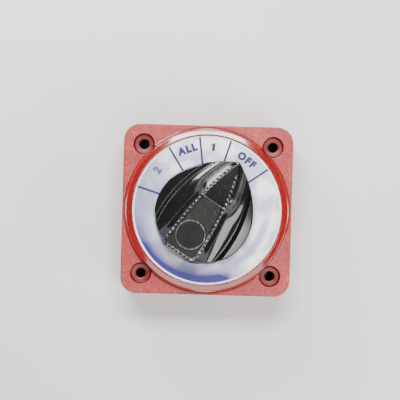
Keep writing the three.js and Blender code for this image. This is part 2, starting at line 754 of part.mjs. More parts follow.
function terminalBase() {
  const bearing = PIVOT_RADIUS + CLEARANCE / 2;
  const shell = turned([
    [bearing, BASE_BACK],
    [BASE_RADIUS, BASE_BACK],
    [BASE_RADIUS, BASE_TOP],
    [BASE_BORE, BASE_TOP],
    [BASE_BORE, BASE_FRONT],
    [bearing, BASE_FRONT],
    [bearing, BASE_BACK],
  ], FINE);
  const barriers = BARRIER_ANGLES.map((angle) => radialBlock(
    angle, BARRIER_INNER_RADIUS, BASE_BORE, BARRIER_THICKNESS,
    BARRIER_BOTTOM, BASE_BACK + OVER));
  const screwHoles = SCREW_ANGLES.map((angle) => {
    const hole = disc(SCREW_HOLE_RADIUS, BASE_BACK - OVER, BASE_FRONT + OVER, 12);
    return placed(hole, SCREW_CIRCLE, angle);
  });
  const studHoles = Object.values(STUDS).map(studHole);
  return build([shell, ...barriers], [...screwHoles, ...studHoles]);
}

function baseGasket() {
  const squeeze = 0.2;
  return ring(BASE_BORE + squeeze, BASE_RADIUS - squeeze, BASE_TOP + GAP, PLATE_BACK - GAP, FINE);
}

function baseScrew(angle) {
  const seat = BASE_BACK - GAP;
  const screw = turned([
    [0, seat - SCREW_HEAD_HEIGHT],
    [SCREW_HEAD_RADIUS - SCREW_HEAD_EDGE, seat - SCREW_HEAD_HEIGHT],
    [SCREW_HEAD_RADIUS, seat - SCREW_HEAD_HEIGHT / 2],
    [SCREW_HEAD_RADIUS, seat],
    [SCREW_RADIUS, seat],
    [SCREW_RADIUS, SCREW_TIP - SCREW_POINT],
    [0, SCREW_TIP],
  ], SMALL);
  return placed(screw, SCREW_CIRCLE, angle);
}

function stud(angle) {
  const seat = BASE_FRONT + CONTACT_THICKNESS + GAP;
  const bolt = turned([
    [0, STUD_END],
    [STUD_RADIUS - STUD_CHAMFER, STUD_END],
    [STUD_RADIUS, STUD_END + STUD_CHAMFER],
    [STUD_RADIUS, seat],
    [STUD_HEAD_RADIUS, seat],
    [STUD_HEAD_RADIUS, seat + STUD_HEAD_HEIGHT - STUD_CHAMFER],
    [STUD_HEAD_RADIUS - STUD_CHAMFER, seat + STUD_HEAD_HEIGHT],
    [0, seat + STUD_HEAD_HEIGHT],
  ], SMALL);
  return placed(bolt, STUD_CIRCLE, angle);
}

function circleHole(radius) {
  const hole = new THREE.Path();
  hole.absarc(0, 0, radius, 0, 2 * Math.PI, true);
  return hole;
}

function hexNut(angle, bottom, top) {
  const corner = NUT_FLATS / Math.sqrt(3);
  const outline = new THREE.Shape();
  for (let side = 0; side < 6; side += 1) {
    const turn = side * Math.PI / 3;
    outline.lineTo(corner * Math.cos(turn), corner * Math.sin(turn));
  }
  outline.curves.shift();
  outline.closePath();
  outline.holes.push(circleHole(STUD_HOLE_RADIUS));
  return placed(raised(outline, bottom, top, SMALL / 2), STUD_CIRCLE, angle);
}

function flatWasher(angle, bottom, top) {
  const washer = ring(STUD_HOLE_RADIUS, FLAT_WASHER_RADIUS, bottom, top, SMALL);
  return placed(washer, STUD_CIRCLE, angle);
}

// A spring washer: a ring with a gap in it.
function lockWasher(angle, bottom, top) {
  const gap = LOCK_WASHER_GAP;
  const washer = arcPlate(STUD_HOLE_RADIUS, LOCK_WASHER_RADIUS, gap, 360 - gap, bottom, top);
  return placed(washer, STUD_CIRCLE, angle);
}

// ------------------------------------------------------------------ assembly

const FINISHES = {
  red_plastic: { color: 0xb5171b, roughness: 0.3, metalness: 0 },
  black_plastic: { color: 0x1c1c1d, roughness: 0.25, metalness: 0 },
  satin_black: { color: 0x2a2a2b, roughness: 0.4, metalness: 0 },
  base_black: { color: 0x18181a, roughness: 0.55, metalness: 0 },
  label: { color: 0xd4d6e4, roughness: 0.3, metalness: 0 },
  rotor_plastic: { color: 0xd9d2bd, roughness: 0.5, metalness: 0 },
  rubber: { color: 0x151515, roughness: 0.85, metalness: 0 },
  copper: { color: 0xb8693f, roughness: 0.35, metalness: 1 },
  brass: { color: 0xc2a25a, roughness: 0.35, metalness: 1 },
  steel: { color: 0xb9bbbe, roughness: 0.3, metalness: 1 },
};

function piece(name, geometry, finish) {
  const mesh = new THREE.Mesh(geometry, new THREE.MeshStandardMaterial(FINISHES[finish]));
  mesh.name = name;
  return mesh;
}

function terminalPieces(label, angle) {
  const retaining = BASE_BACK - GAP;
  const flat = retaining - RETAINING_NUT - LUG_SPACE;
  const lock = flat - FLAT_WASHER - GAP;
  const nut = lock - LOCK_WASHER - GAP;
  return [
    piece(`stud_${label}`, stud(angle), "brass"),
    piece(`retaining_nut_${label}`, hexNut(angle, retaining - RETAINING_NUT, retaining), "brass"),
    piece(`flat_washer_${label}`, flatWasher(angle, flat - FLAT_WASHER, flat), "brass"),
    piece(`lock_washer_${label}`, lockWasher(angle, lock - LOCK_WASHER, lock), "steel"),
    piece(`terminal_nut_${label}`, hexNut(angle, nut - TERMINAL_NUT, nut), "brass"),
  ];
}

const housing = new THREE.Group();
housing.add(
  piece("front_housing", frontHousing(), "red_plastic"),
  piece("dial_label", dialLabel(), "label"),
  piece("shaft_seal", shaftSeal(), "rubber"),
  piece("terminal_base", terminalBase(), "base_black"),
  piece("base_gasket", baseGasket(), "rubber"),
  piece("fixed_contact_1", outerContact(CONTACT_1_ARC, STUDS["1"]), "copper"),
  piece("fixed_contact_2", outerContact(CONTACT_2_ARC, STUDS["2"]), "copper"),
  piece("fixed_contact_common", commonContact(), "copper"),
);
for (const [label, angle] of Object.entries(STUDS)) {
  housing.add(...terminalPieces(label, angle));
}
SCREW_ANGLES.forEach((angle, i) => {
  housing.add(piece(`base_screw_${i + 1}`, baseScrew(angle), "steel"));
});

const handle = new THREE.Group();
handle.position.z = KNOB_BASE;
handle.rotation.z = -radians(POINTER_ANGLE);
handle.add(
  piece("knob", knob(), "black_plastic"),
  piece("knob_cover", knobCover(), "satin_black"),
  piece("lock_blank_plug", lockBlankPlug(), "satin_black"),
  piece("knob_screw", knobScrew(), "steel"),
);

const mechanism = new THREE.Group();
mechanism.add(
  piece("rotor", rotor(), "rotor_plastic"),
  piece("moving_contact", movingContact(), "copper"),
  piece("contact_spring", contactSpring(), "steel"),
);
BALL_ANGLES.forEach((angle, i) => {
  mechanism.add(piece(`detent_ball_${i + 1}`, detentBall(angle), "steel"));
  mechanism.add(piece(`detent_spring_${i + 1}`, detentSpring(angle), "steel"));
});

const batterySwitch = new THREE.Group();
batterySwitch.add(housing, handle, mechanism);

export default batterySwitch;
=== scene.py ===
"""Battery switch: visual pieces, materials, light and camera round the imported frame."""

import json
import math

import bmesh
import bpy
import numpy as np
from mathutils import Matrix, Vector


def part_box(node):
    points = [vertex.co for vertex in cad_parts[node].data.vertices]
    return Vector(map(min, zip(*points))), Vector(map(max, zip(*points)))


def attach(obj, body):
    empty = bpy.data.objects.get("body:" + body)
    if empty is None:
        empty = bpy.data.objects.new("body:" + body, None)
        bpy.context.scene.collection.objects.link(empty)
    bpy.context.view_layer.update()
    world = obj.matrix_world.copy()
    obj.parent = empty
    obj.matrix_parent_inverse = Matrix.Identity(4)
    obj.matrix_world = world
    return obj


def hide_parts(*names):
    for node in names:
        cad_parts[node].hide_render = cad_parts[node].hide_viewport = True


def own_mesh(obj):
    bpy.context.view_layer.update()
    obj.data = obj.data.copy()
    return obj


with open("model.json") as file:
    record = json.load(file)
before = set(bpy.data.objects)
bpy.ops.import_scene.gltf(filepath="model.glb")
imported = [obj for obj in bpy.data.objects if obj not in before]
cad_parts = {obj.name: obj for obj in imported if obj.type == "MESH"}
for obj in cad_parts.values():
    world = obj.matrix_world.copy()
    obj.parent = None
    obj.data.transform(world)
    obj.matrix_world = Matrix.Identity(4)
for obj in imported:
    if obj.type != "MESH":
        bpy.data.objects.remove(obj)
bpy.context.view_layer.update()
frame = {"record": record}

MM = 0.001
TURN = 2 * math.pi
SHARP = 35  # degrees that an edge turns by to stay sharp


# ---- node sizes

def low(node):
    """The least x, y and z of a node's box, in millimetres."""
    return [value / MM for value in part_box(node)[0]]


def high(node):
    """The greatest x, y and z of a node's box, in millimetres."""
    return [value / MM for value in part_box(node)[1]]


AXIS = 1e-4  # the radius that stands for the axis in a turned profile
OVER = 1  # how far a cutter runs past what it cuts
HOUSING_HALF = high("front_housing")[0]
HOUSING_CORNER = 12.5
HOUSING_EDGE = 0.9
WALL = 4.0
PLATE_BACK = 35.0
PLATE_FRONT = 42.0
HOLE_REACH = 50.8
HOLE_PLACES = [(x * HOLE_REACH, y * HOLE_REACH) for x in (-1, 1) for y in (-1, 1)]
HOLE_RADIUS = 3.75
DISH_DEPTH = 3.6
DISH_RADIUS = 8.2
DISH_EDGE = 0.5
COLUMN_RADIUS = 7.6
RIB_BACK = 1
RIB_LENGTH = 13.6
ENTRY_HALF = 12.0
ENTRY_HEIGHT = 17.0
ENTRY_SHOULDER = 6.0
ENTRY_ANGLES = (0, 180, 270)
BEZEL_CREST = 48.9
BEZEL_FACETS = 256
DIAL_RADIUS = 58.7
DIAL_BACK = 42.6
DIAL_FLOOR = 46.8
STEM_BORE = 12.6
SEAL_SEAT = 15.0
SEAL_FLOOR = 44.0
DIAL_FRONT = low("dial_label")[2]
LABEL_TOP = high("dial_label")[2]
LABEL_RADIUS = high("dial_label")[0]
LABEL_BORE = 20
LABEL_RIM = 1.5  # width of the unprinted rim
BASE_RADIUS = high("terminal_base")[0]
BASE_BORE = 50.2
BASE_TOP = high("terminal_base")[2]
BASE_BACK = 20.0
BASE_FRONT = 27.0
BARRIER_ANGLES = (90, 205, 335)
SCREW_CIRCLE = 44.0
SCREW_ANGLES = (20, 160, 225, 315)
SCREW_BORE = 2.25
STUD_CIRCLE = 40.0
STUDS = {"1": 62, "2": 118, "common": 270}
STUD_BORE = 5.05
STUD_RADIUS = 4.7
STUD_HEAD = 7.0
THREAD_PITCH = 1.588
NUT_FLATS = 14.3
NUT_BORE = 4.8
WASHER_BORE = 4.95
FLAT_WASHER_RADIUS = 9.5
LOCK_WASHER_RADIUS = 8.2
TRACK_INNER = 35.2
TRACK_OUTER = 39.0
TRACK_BACK = 34.5
BALL_ANGLES = (130, 310)
DETENT_ANGLES = (0, 28, 52, 86)
DETENT_HEIGHT = 37.0
NOTCH_RADIUS = 2.6
NOTCH_REACH = 33.5
STOP_REACH = (21.5, 27.5)
STOP_SIZE = 6
STOP_BACK = 40.4
STOP_ANGLES = (203.51, 322.49)
KNOB_BASE = 48.1
KNOB_TOP = high("knob")[2]
POINTER = math.radians(32.8)


# ---- mesh helpers

def add_mesh(name, vertices, faces, sharp=SHARP):
    """A new object from vertices in millimetres."""
    mesh = bpy.data.meshes.new(name)
    mesh.from_pydata([tuple(MM * c for c in v) for v in vertices], [], faces)
    mesh.validate()
    piece = bpy.data.objects.new(name, mesh)
    bpy.context.scene.collection.objects.link(piece)
    tidy_mesh(piece, sharp)
    return piece


def tidy_mesh(piece, sharp=SHARP):
    """Outward normals, smooth faces and sharp edges past an angle."""
    work = bmesh.new()
    work.from_mesh(piece.data)
    bmesh.ops.remove_doubles(work, verts=work.verts, dist=1e-7)
    bmesh.ops.recalc_face_normals(work, faces=work.faces)
    work.to_mesh(piece.data)
    work.free()
    piece.data.shade_smooth()
    piece.data.set_sharp_from_angle(angle=math.radians(sharp))


def evaluated_mesh(piece):
    """A new mesh of a piece as its modifiers or its lettering make it."""
    graph = bpy.context.evaluated_depsgraph_get()
    return bpy.data.meshes.new_from_object(piece.evaluated_get(graph))


def apply_modifiers(piece):
    """Make what the modifiers do part of the mesh."""
    piece.data = evaluated_mesh(piece)
    piece.modifiers.clear()


def combine(piece, others, operation, sharp=SHARP):
    """Add others to a piece or cut it by them; they are used up."""
    for other in others:
        modifier = piece.modifiers.new("combine", "BOOLEAN")
        modifier.solver = "EXACT"
        modifier.operation = operation
        modifier.object = other
    apply_modifiers(piece)
    tidy_mesh(piece, sharp)
    for other in others:
        bpy.data.objects.remove(other)
    return piece


def bevelled(piece, width, segments):
    """Round the edges that turn by more than 40 degrees."""
    modifier = piece.modifiers.new("bevel", "BEVEL")
    modifier.width = width * MM
    modifier.segments = segments
    modifier.limit_method = "ANGLE"
    modifier.angle_limit = math.radians(40)
    apply_modifiers(piece)
    tidy_mesh(piece)
    return piece


def rounded(points, radius, steps=4):
    """A closed outline with each corner replaced by a small arc-like curve."""
    result = []
    count = len(points)
    for i, point in enumerate(points):
        here = Vector(point)
        before = Vector(points[i - 1])
        after = Vector(points[(i + 1) % count])
        reach = min(radius, (before - here).length / 2.2, (after - here).length / 2.2)
        start = here + (before - here).normalized() * reach
        end = here + (after - here).normalized() * reach
        for step in range(steps + 1):
            t = step / steps
            result.append(tuple((1 - t) ** 2 * start + 2 * t * (1 - t) * here + t * t * end))
    return result


def skin(name, loops, sharp=SHARP, closed=False):
    """Faces between loops of equal length, with the first and last capped or joined."""
    count = len(loops[0])
    vertices = [tuple(point) for loop in loops for point in loop]
    faces = []
    for level in range(len(loops) if closed else len(loops) - 1):
        this = level * count
        following = (level + 1) % len(loops) * count
        for i in range(count):
            j = (i + 1) % count
            faces.append((this + i, this + j, following + j, following + i))
    if not closed:
        faces.append(tuple(reversed(range(count))))
        faces.append(tuple(range(len(vertices) - count, len(vertices))))
    return add_mesh(name, vertices, faces, sharp)


def lathe(name, profile, steps, sharp=SHARP):
    """A closed profile of (radius, height) turned about +Z."""
    turns = [TURN * step / steps for step in range(steps)]
    loops = [[(radius * math.cos(a), radius * math.sin(a), height) for radius, height in profile]
             for a in turns]
    return skin(name, loops, sharp, closed=True)


def prism(name, outline, bottom, top):
    """A closed outline of (x, y) raised from one height to another."""
    count = len(outline)
    vertices = [(x, y, z) for z in (bottom, top) for x, y in outline]
    faces = [tuple(reversed(range(count))), tuple(range(count, 2 * count))]
    for i in range(count):
        j = (i + 1) % count
        faces.append((i, j, count + j, count + i))
    return add_mesh(name, vertices, faces)


def moved(piece, x=0.0, y=0.0, z=0.0, turn=0.0):
    """Turn about +Z, then shift, in millimetres, in the mesh itself."""
    matrix = Matrix.Translation((x * MM, y * MM, z * MM)) @ Matrix.Rotation(turn, 4, "Z")
    piece.data.transform(matrix)
    return piece


def joined(piece, others):
    """Others added to a piece as further shells of the same mesh."""
    work = bmesh.new()
    for part in [piece] + others:
        work.from_mesh(part.data)
    work.to_mesh(piece.data)
    work.free()
    for other in others:
        bpy.data.objects.remove(other)
    tidy_mesh(piece)
    return piece


def polar(radius, degrees):
    """A place by its radius and its angle anticlockwise from +X."""
    turn = math.radians(degrees)
    return radius * math.cos(turn), radius * math.sin(turn)


def circle(radius, height, sides):
    """A level loop of points round the axis."""
    turns = [TURN * i / sides for i in range(sides)]
    return [(radius * math.cos(a), radius * math.sin(a), height) for a in turns]


def block(near, far, half):
    """A rectangular outline that runs along +X."""
    return [(near, -half), (far, -half), (far, half), (near, half)]


def ring(inner, outer, bottom, top):
    """The rectangular profile of a flat ring."""
    return [(inner, bottom), (outer, bottom), (outer, top), (inner, top)]


def eased(low_end, high_end, share):
    """From one value to another as a share goes from 0 to 1, level at both ends."""
    return low_end + (high_end - low_end) * share ** 2 * (3 - 2 * share)


def arc(cx, cy, radius, start, end, steps):
    """Points along an arc, both ends included."""
    angles = [start + (end - start) * i / steps for i in range(steps + 1)]
    return [(cx + radius * math.cos(a), cy + radius * math.sin(a)) for a in angles]


def rounded_square(half, corner):
    """The outline of a square with round corners."""
    outline = []
    for quarter in range(4):
        start = quarter * TURN / 4
        middle = start + TURN / 8
        reach = (half - corner) * math.sqrt(2)
        outline += arc(reach * math.cos(middle), reach * math.sin(middle), corner,
                       start, start + TURN / 4, 16)
    return outline


# ---- materials

def srgb(red, green, blue):
    """A linear colour from 0-255 display values."""
    def linear(value):
        value /= 255
        return value / 12.92 if value <= 0.04045 else ((value + 0.055) / 1.055) ** 2.4
    return (linear(red), linear(green), linear(blue), 1.0)


class Shader:
    """A principled material, with short calls for its nodes."""

    def __init__(self, name, colour, roughness, metallic=0.0, **sockets):
        self.material = bpy.data.materials.new(name)
        self.material.use_nodes = True
        self.nodes = self.material.node_tree.nodes
        self.links = self.material.node_tree.links
        self.base = self.nodes["Principled BSDF"]
        self.base.inputs["Base Color"].default_value = colour
        self.base.inputs["Roughness"].default_value = roughness
        self.base.inputs["Metallic"].default_value = metallic
        for socket, value in sockets.items():
            self.base.inputs[socket.replace("_", " ")].default_value = value
        self.place = self.nodes.new("ShaderNodeTexCoord").outputs["Object"]

    def noise(self, size, detail=3.0, stretch=(1, 1, 1)):
        """Noise from 0 to 1, its features about the given size in millimetres."""
        mapping = self.nodes.new("ShaderNodeMapping")
        mapping.inputs["Scale"].default_value = stretch
        noise = self.nodes.new("ShaderNodeTexNoise")
        noise.inputs["Scale"].default_value = 1 / (size * MM)
        noise.inputs["Detail"].default_value = detail
        self.links.new(self.place, mapping.inputs["Vector"])
        self.links.new(mapping.outputs["Vector"], noise.inputs["Vector"])
        return noise.outputs["Fac"]

    def spread(self, value, low_in, high_in, low_out, high_out):
        """A value moved from one range to another, and held inside it."""
        node = self.nodes.new("ShaderNodeMapRange")
        for socket, number in zip(("From Min", "From Max", "To Min", "To Max"),
                                  (low_in, high_in, low_out, high_out)):
            node.inputs[socket].default_value = number
        self.links.new(value, node.inputs["Value"])
        return node.outputs["Result"]

    def math(self, operation, first, second=0.0):
        """One sum on sockets or plain numbers."""
        node = self.nodes.new("ShaderNodeMath")
        node.operation = operation
        for socket, value in zip(node.inputs, (first, second)):
            if isinstance(value, (int, float)):
                socket.default_value = value
            else:
                self.links.new(value, socket)
        return node.outputs["Value"]

    def mix(self, factor, first, second):
        """A blend of two colours, from the first at 0 to the second at 1."""
        node = self.nodes.new("ShaderNodeMix")
        node.data_type = "RGBA"
        colours = [s for s in node.inputs if s.type == "RGBA"]
        for socket, value in zip(colours, (first, second)):
            if isinstance(value, tuple):
                socket.default_value = value
            else:
                self.links.new(value, socket)
        factors = [s for s in node.inputs if s.type == "VALUE"]
        self.links.new(factor, factors[0])
        return [s for s in node.outputs if s.type == "RGBA"][0]

    def bump(self, heights):
        """Stacked bumps: (height, depth in millimetres) pairs."""
        previous = None
        for height, depth in heights:
            node = self.nodes.new("ShaderNodeBump")
            node.inputs["Distance"].default_value = depth * MM
            node.inputs["Strength"].default_value = 1.0
            self.links.new(height, node.inputs["Height"])
            if previous is not None:
                self.links.new(previous, node.inputs["Normal"])
            previous = node.outputs["Normal"]
        self.links.new(previous, self.base.inputs["Normal"])

    def colour(self, output):
        self.links.new(output, self.base.inputs["Base Color"])

    def roughness(self, output):
        self.links.new(output, self.base.inputs["Roughness"])


def moulded(name, colour, pale_marks, roughness, grain, grain_depth, flecks=0.35, **more):
    """Moulded plastic: mottling, scuffs in a paler colour (wear, but painted highlight in the
    knob's edge finish), uneven gloss and a fine grain.
    """
    shader = Shader(name, colour, roughness, **more)
    broad = shader.noise(11, 4)
    fine = shader.noise(grain, 2)
    scuffs = shader.spread(shader.noise(1.1, 5, (1, 0.25, 1)), 0.58, 0.74, 0, flecks)
    dark = tuple(c * 0.8 for c in colour[:3]) + (1.0,)
    mottled = shader.mix(shader.spread(broad, 0.3, 0.7, 0, 1), dark, colour)
    shader.colour(shader.mix(scuffs, mottled, pale_marks))
    uneven = shader.spread(broad, 0.25, 0.75, roughness * 0.85, roughness * 1.15)
    shader.roughness(shader.math("ADD", uneven, shader.math("MULTIPLY", scuffs, 0.25)))
    shader.bump([(fine, grain_depth)])
    return shader.material


def metal(name, colour, tarnish, roughness, brush=(1, 1, 14)):
    """Machined metal: fine tool lines, spots of tarnish."""
    shader = Shader(name, colour, roughness, 1.0)
    lines = shader.noise(0.9, 3, brush)
    spots = shader.noise(3.5, 5)
    shader.colour(shader.mix(shader.spread(spots, 0.5, 0.75, 0, 0.7), colour, tarnish))
    gloss = shader.spread(spots, 0.3, 0.75, roughness * 0.8, roughness * 1.5)
    shader.roughness(shader.math("ADD", gloss, shader.spread(lines, 0.4, 0.7, 0, 0.08)))
    shader.bump([(lines, 0.006), (shader.noise(0.25, 2), 0.002)])
    return shader.material


RED = srgb(136, 14, 15)
RED_WORN = srgb(206, 88, 84)
BLACK = srgb(18, 18, 19)
BLACK_WORN = srgb(72, 73, 72)

red_gloss = moulded("red_gloss", RED, RED_WORN, 0.14, 0.6, 0.001, 0.25,
                    Coat_Weight=1.0, Coat_Roughness=0.06)
# Satin red for the screw dishes, darker than the housing red: painted shade in the recesses.
shaded_red_satin = moulded("shaded_red_satin", srgb(112, 20, 22), RED_WORN, 0.4, 0.6, 0.002, 0.12)
black_gloss = moulded("black_gloss", BLACK, BLACK_WORN, 0.13, 0.5, 0.001, 0.16)
# Grey flecked with near white, for the knob's tooth crests, cover lip and ledge and the plug's
# lip: a painted highlight.
painted_edge_highlight = moulded("painted_edge_highlight", srgb(78, 80, 74), srgb(226, 227, 216), 0.3, 0.4, 0.004, 1.0)
cover_satin = moulded("cover_satin", srgb(34, 35, 32), srgb(88, 90, 84), 0.36, 0.3, 0.004, 0.3,
                      Specular_IOR_Level=0.18)
plug_satin = moulded("plug_satin", srgb(26, 27, 26), srgb(62, 63, 60), 0.32, 0.3, 0.003, 0.25,
                     Specular_IOR_Level=0.18)
base_black = moulded("base_black", srgb(32, 32, 34), srgb(84, 84, 84), 0.45, 0.4, 0.012, 0.5)
cream_nylon = moulded("cream_nylon", srgb(214, 206, 180), srgb(235, 230, 214), 0.42, 0.5, 0.004)
rubber = moulded("black_rubber", srgb(24, 24, 24), srgb(52, 52, 52), 0.72, 0.3, 0.02, 0.5)
brass = metal("brass", srgb(206, 170, 96), srgb(140, 104, 52), 0.28)
copper = metal("copper", srgb(205, 128, 92), srgb(120, 66, 46), 0.3, (1, 14, 1))
steel = metal("steel", srgb(196, 198, 200), srgb(140, 138, 134), 0.25)


def stippled_red():
    """The face plate and skirt: the housing's red under a fine, even stipple, with a pale pink
    painted sheen over it.
    """
    shader = Shader("stippled_red", RED, 0.4, Specular_IOR_Level=0.6)
    stipple = shader.noise(0.8, 2)
    broad = shader.noise(22, 3)
    # Painted sheen: pale pink where the stipple is high, stronger in broad patches.
    painted_sheen = shader.math("MULTIPLY", shader.spread(stipple, 0.42, 0.66, 0, 1),
                        shader.spread(broad, 0.3, 0.7, 0.25, 0.8))
    shader.colour(shader.mix(painted_sheen, RED, srgb(208, 98, 90)))
    shader.roughness(shader.spread(stipple, 0.3, 0.7, 0.34, 0.5))
    shader.bump([(stipple, 0.09), (shader.noise(0.25, 1), 0.012)])
    return shader.material


def distance(shader, across, up, x, y):
    """How far a point of the dial lies from a place on it, given in millimetres."""
    from_x = shader.math("SUBTRACT", across, x * MM)
    from_y = shader.math("SUBTRACT", up, y * MM)
    squares = shader.math("ADD", shader.math("MULTIPLY", from_x, from_x),
                          shader.math("MULTIPLY", from_y, from_y))
    return shader.math("SQRT", squares)


def bearing(shader, across, up, clockwise):
    """How far a point of the dial lies towards an angle clockwise from its top."""
    towards = math.radians(90 - clockwise)
    return shader.math("ADD", shader.math("MULTIPLY", across, math.cos(towards)),
                       shader.math("MULTIPLY", up, math.sin(towards)))


def ramp(shader, value, start, end, low_out=0, high_out=1):
    """A length on the dial as a share that changes between two places, in millimetres."""
    return shader.spread(value, start * MM, end * MM, low_out, high_out)


def printed_dial():
    """White clouded with pale lavender, a blue crescent at the lower left, a white rim."""
    shader = Shader("printed_dial", srgb(214, 217, 230), 0.3)
    split = shader.nodes.new("ShaderNodeSeparateXYZ")
    shader.links.new(shader.place, split.inputs["Vector"])
    across, up = split.outputs["X"], split.outputs["Y"]
    drift = shader.spread(shader.noise(16, 3), 0.2, 0.8, -5 * MM, 5 * MM)
    reach = distance(shader, across, up, 0, 0)

    blotch = shader.spread(shader.noise(24, 2), 0.42, 0.56, 0, 1)
    clouds = shader.mix(blotch, srgb(190, 190, 211), srgb(250, 248, 252))
    side = ramp(shader, shader.math("ADD", across, drift), -30, -50)
    printed = shader.mix(side, clouds, srgb(146, 150, 178))

    depth = bearing(shader, across, up, 203)
    low_side = ramp(shader, shader.math("ADD", depth, drift), 26, 44)
    crescent = ramp(shader, distance(shader, across, up, -2, 3), 43, 55, 0.1, 1)
    blue = shader.math("MULTIPLY", low_side, crescent)
    printed = shader.mix(blue, printed, srgb(40, 32, 112))

    band = shader.math("MULTIPLY", ramp(shader, reach, 42, 45, 0, 0.8),
                       ramp(shader, reach, 48, 51, 1, 0))
    right = bearing(shader, across, up, 130)
    lavender = shader.math("MULTIPLY", band, ramp(shader, right, 34, 42))
    printed = shader.mix(lavender, printed, srgb(164, 146, 198))

    rim = ramp(shader, reach, LABEL_RADIUS - LABEL_RIM - 0.1, LABEL_RADIUS - LABEL_RIM + 0.1)
    shader.colour(shader.mix(rim, printed, srgb(240, 240, 244)))
    fibres = shader.noise(0.4, 3)
    shader.roughness(shader.spread(fibres, 0.3, 0.7, 0.24, 0.38))
    shader.bump([(fibres, 0.002), (shader.noise(8, 2), 0.02)])
    return shader.material


def ink(name, colour):
    """Printing ink, a little uneven."""
    shader = Shader(name, colour, 0.4)
    pale = tuple(c * 1.3 + 0.01 for c in colour[:3]) + (1.0,)
    speck = shader.noise(0.5, 3)
    shader.colour(shader.mix(shader.spread(speck, 0.5, 0.8, 0, 0.35), colour, pale))
    shader.roughness(shader.spread(speck, 0.3, 0.7, 0.34, 0.48))
    shader.bump([(speck, 0.002)])
    return shader.material


stipple_finish = stippled_red()
dial_finish = printed_dial()
navy_ink = ink("navy_ink", srgb(24, 18, 84))
grey_ink = ink("grey_ink", srgb(78, 76, 122))


def weigh_normals(piece):
    """Shading follows the large faces, so that only the small edge faces turn the light."""
    modifier = piece.modifiers.new("weights", "WEIGHTED_NORMAL")
    modifier.keep_sharp = True
    apply_modifiers(piece)


def place(piece, body, slot, material, *nodes):
    """Give a finished piece its material and body, and hide the nodes it stands for; the slot is
    not used.
    """
    weigh_normals(piece)
    piece.data.materials.clear()
    piece.data.materials.append(material)
    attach(piece, body)
    if nodes:
        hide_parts(*nodes)
    return piece


def face_centres(piece):
    """Centres of a piece's faces in millimetres, as three rows."""
    centres = np.empty(3 * len(piece.data.polygons))
    piece.data.polygons.foreach_get("center", centres)
    return centres.reshape(-1, 3).T / MM


def second_finish(piece, material, chosen):
    """Give some faces of a placed piece another material."""
    piece.data.materials.append(material)
    piece.data.polygons.foreach_set("material_index", chosen.astype(np.int32))
    return piece


# ---- front housing

def dish_cutter(x, y):
    """Screw hole with a chamfered bore, a dished floor and a softly rounded mouth."""
    floor, edge = PLATE_FRONT - DISH_DEPTH, DISH_EDGE
    mouth = [(DISH_RADIUS + edge * (1 - math.cos(a)), PLATE_FRONT - edge + edge * math.sin(a))
             for a in np.linspace(0, TURN / 4, 5)]
    profile = [(AXIS, -OVER), (HOLE_RADIUS, -OVER), (HOLE_RADIUS, floor - 1.1),
               (4.0, floor - 0.5), (4.9, floor), (6.6, floor), (7.1, floor + 0.15),
               (7.4, floor + 0.6)] + mouth
    above = BEZEL_CREST + 2 * OVER
    profile += [(DISH_RADIUS + edge, above), (AXIS, above)]
    return moved(lathe("dish", profile, 72), x, y)


def housing_block():
    """The outer block, its top and bottom edges rounded over."""
    turns = np.linspace(0, TURN / 4, 6)
    lower = [(HOUSING_EDGE * (1 - math.sin(t)), HOUSING_EDGE * (1 - math.cos(t))) for t in turns]
    upper = [(inset, PLATE_FRONT - height) for inset, height in reversed(lower)]
    loops = []
    for inset, height in lower + upper:
        outline = rounded_square(HOUSING_HALF - inset, HOUSING_CORNER - inset)
        loops.append([(x, y, height) for x, y in outline])
    return skin("housing_shell", loops)


def screw_column(x, y):
    """A column round a screw hole, with a soft lower edge and a fillet under the plate."""
    edge, fillet = 0.5, 2.0
    foot = [(COLUMN_RADIUS - edge * (1 - math.sin(a)), edge * (1 - math.cos(a)))
            for a in np.linspace(0, TURN / 4, 4)]
    head = [(COLUMN_RADIUS + fillet * (1 - math.cos(a)), PLATE_BACK - fillet * (1 - math.sin(a)))
            for a in np.linspace(0, TURN / 4, 5)]
    above = PLATE_BACK + OVER
    profile = [(AXIS, 0)] + foot + head + [(COLUMN_RADIUS + fillet, above), (AXIS, above)]
    column = moved(lathe("column", profile, 72), x, y)
    reach = math.hypot(x, y)
    outline = block(reach, reach + RIB_LENGTH, WALL / 2)
    rib = moved(prism("rib", outline, RIB_BACK, above), turn=math.atan2(y, x))
    return [column, rib]


def cable_entry(degrees):
    """The cutter for an arched opening through the skirt."""
    half, top, shoulder = ENTRY_HALF, ENTRY_HEIGHT, ENTRY_SHOULDER
    outline = [(-half, -OVER), (half, -OVER)]
    outline += arc(half - shoulder, top - shoulder, shoulder, 0, TURN / 4, 10)
    outline += arc(shoulder - half, top - shoulder, shoulder, TURN / 4, TURN / 2, 10)
    near, far = HOUSING_HALF - 2 * WALL, HOUSING_HALF + WALL
    loops = [[(reach, y, z) for y, z in outline] for reach in (near, far)]
    return moved(skin("entry", loops), turn=math.radians(degrees))


def plain_cutter(radius, bottom, top, steps):
    """A round cutter on the axis."""
    return lathe("cutter", ring(AXIS, radius, bottom, top), steps)


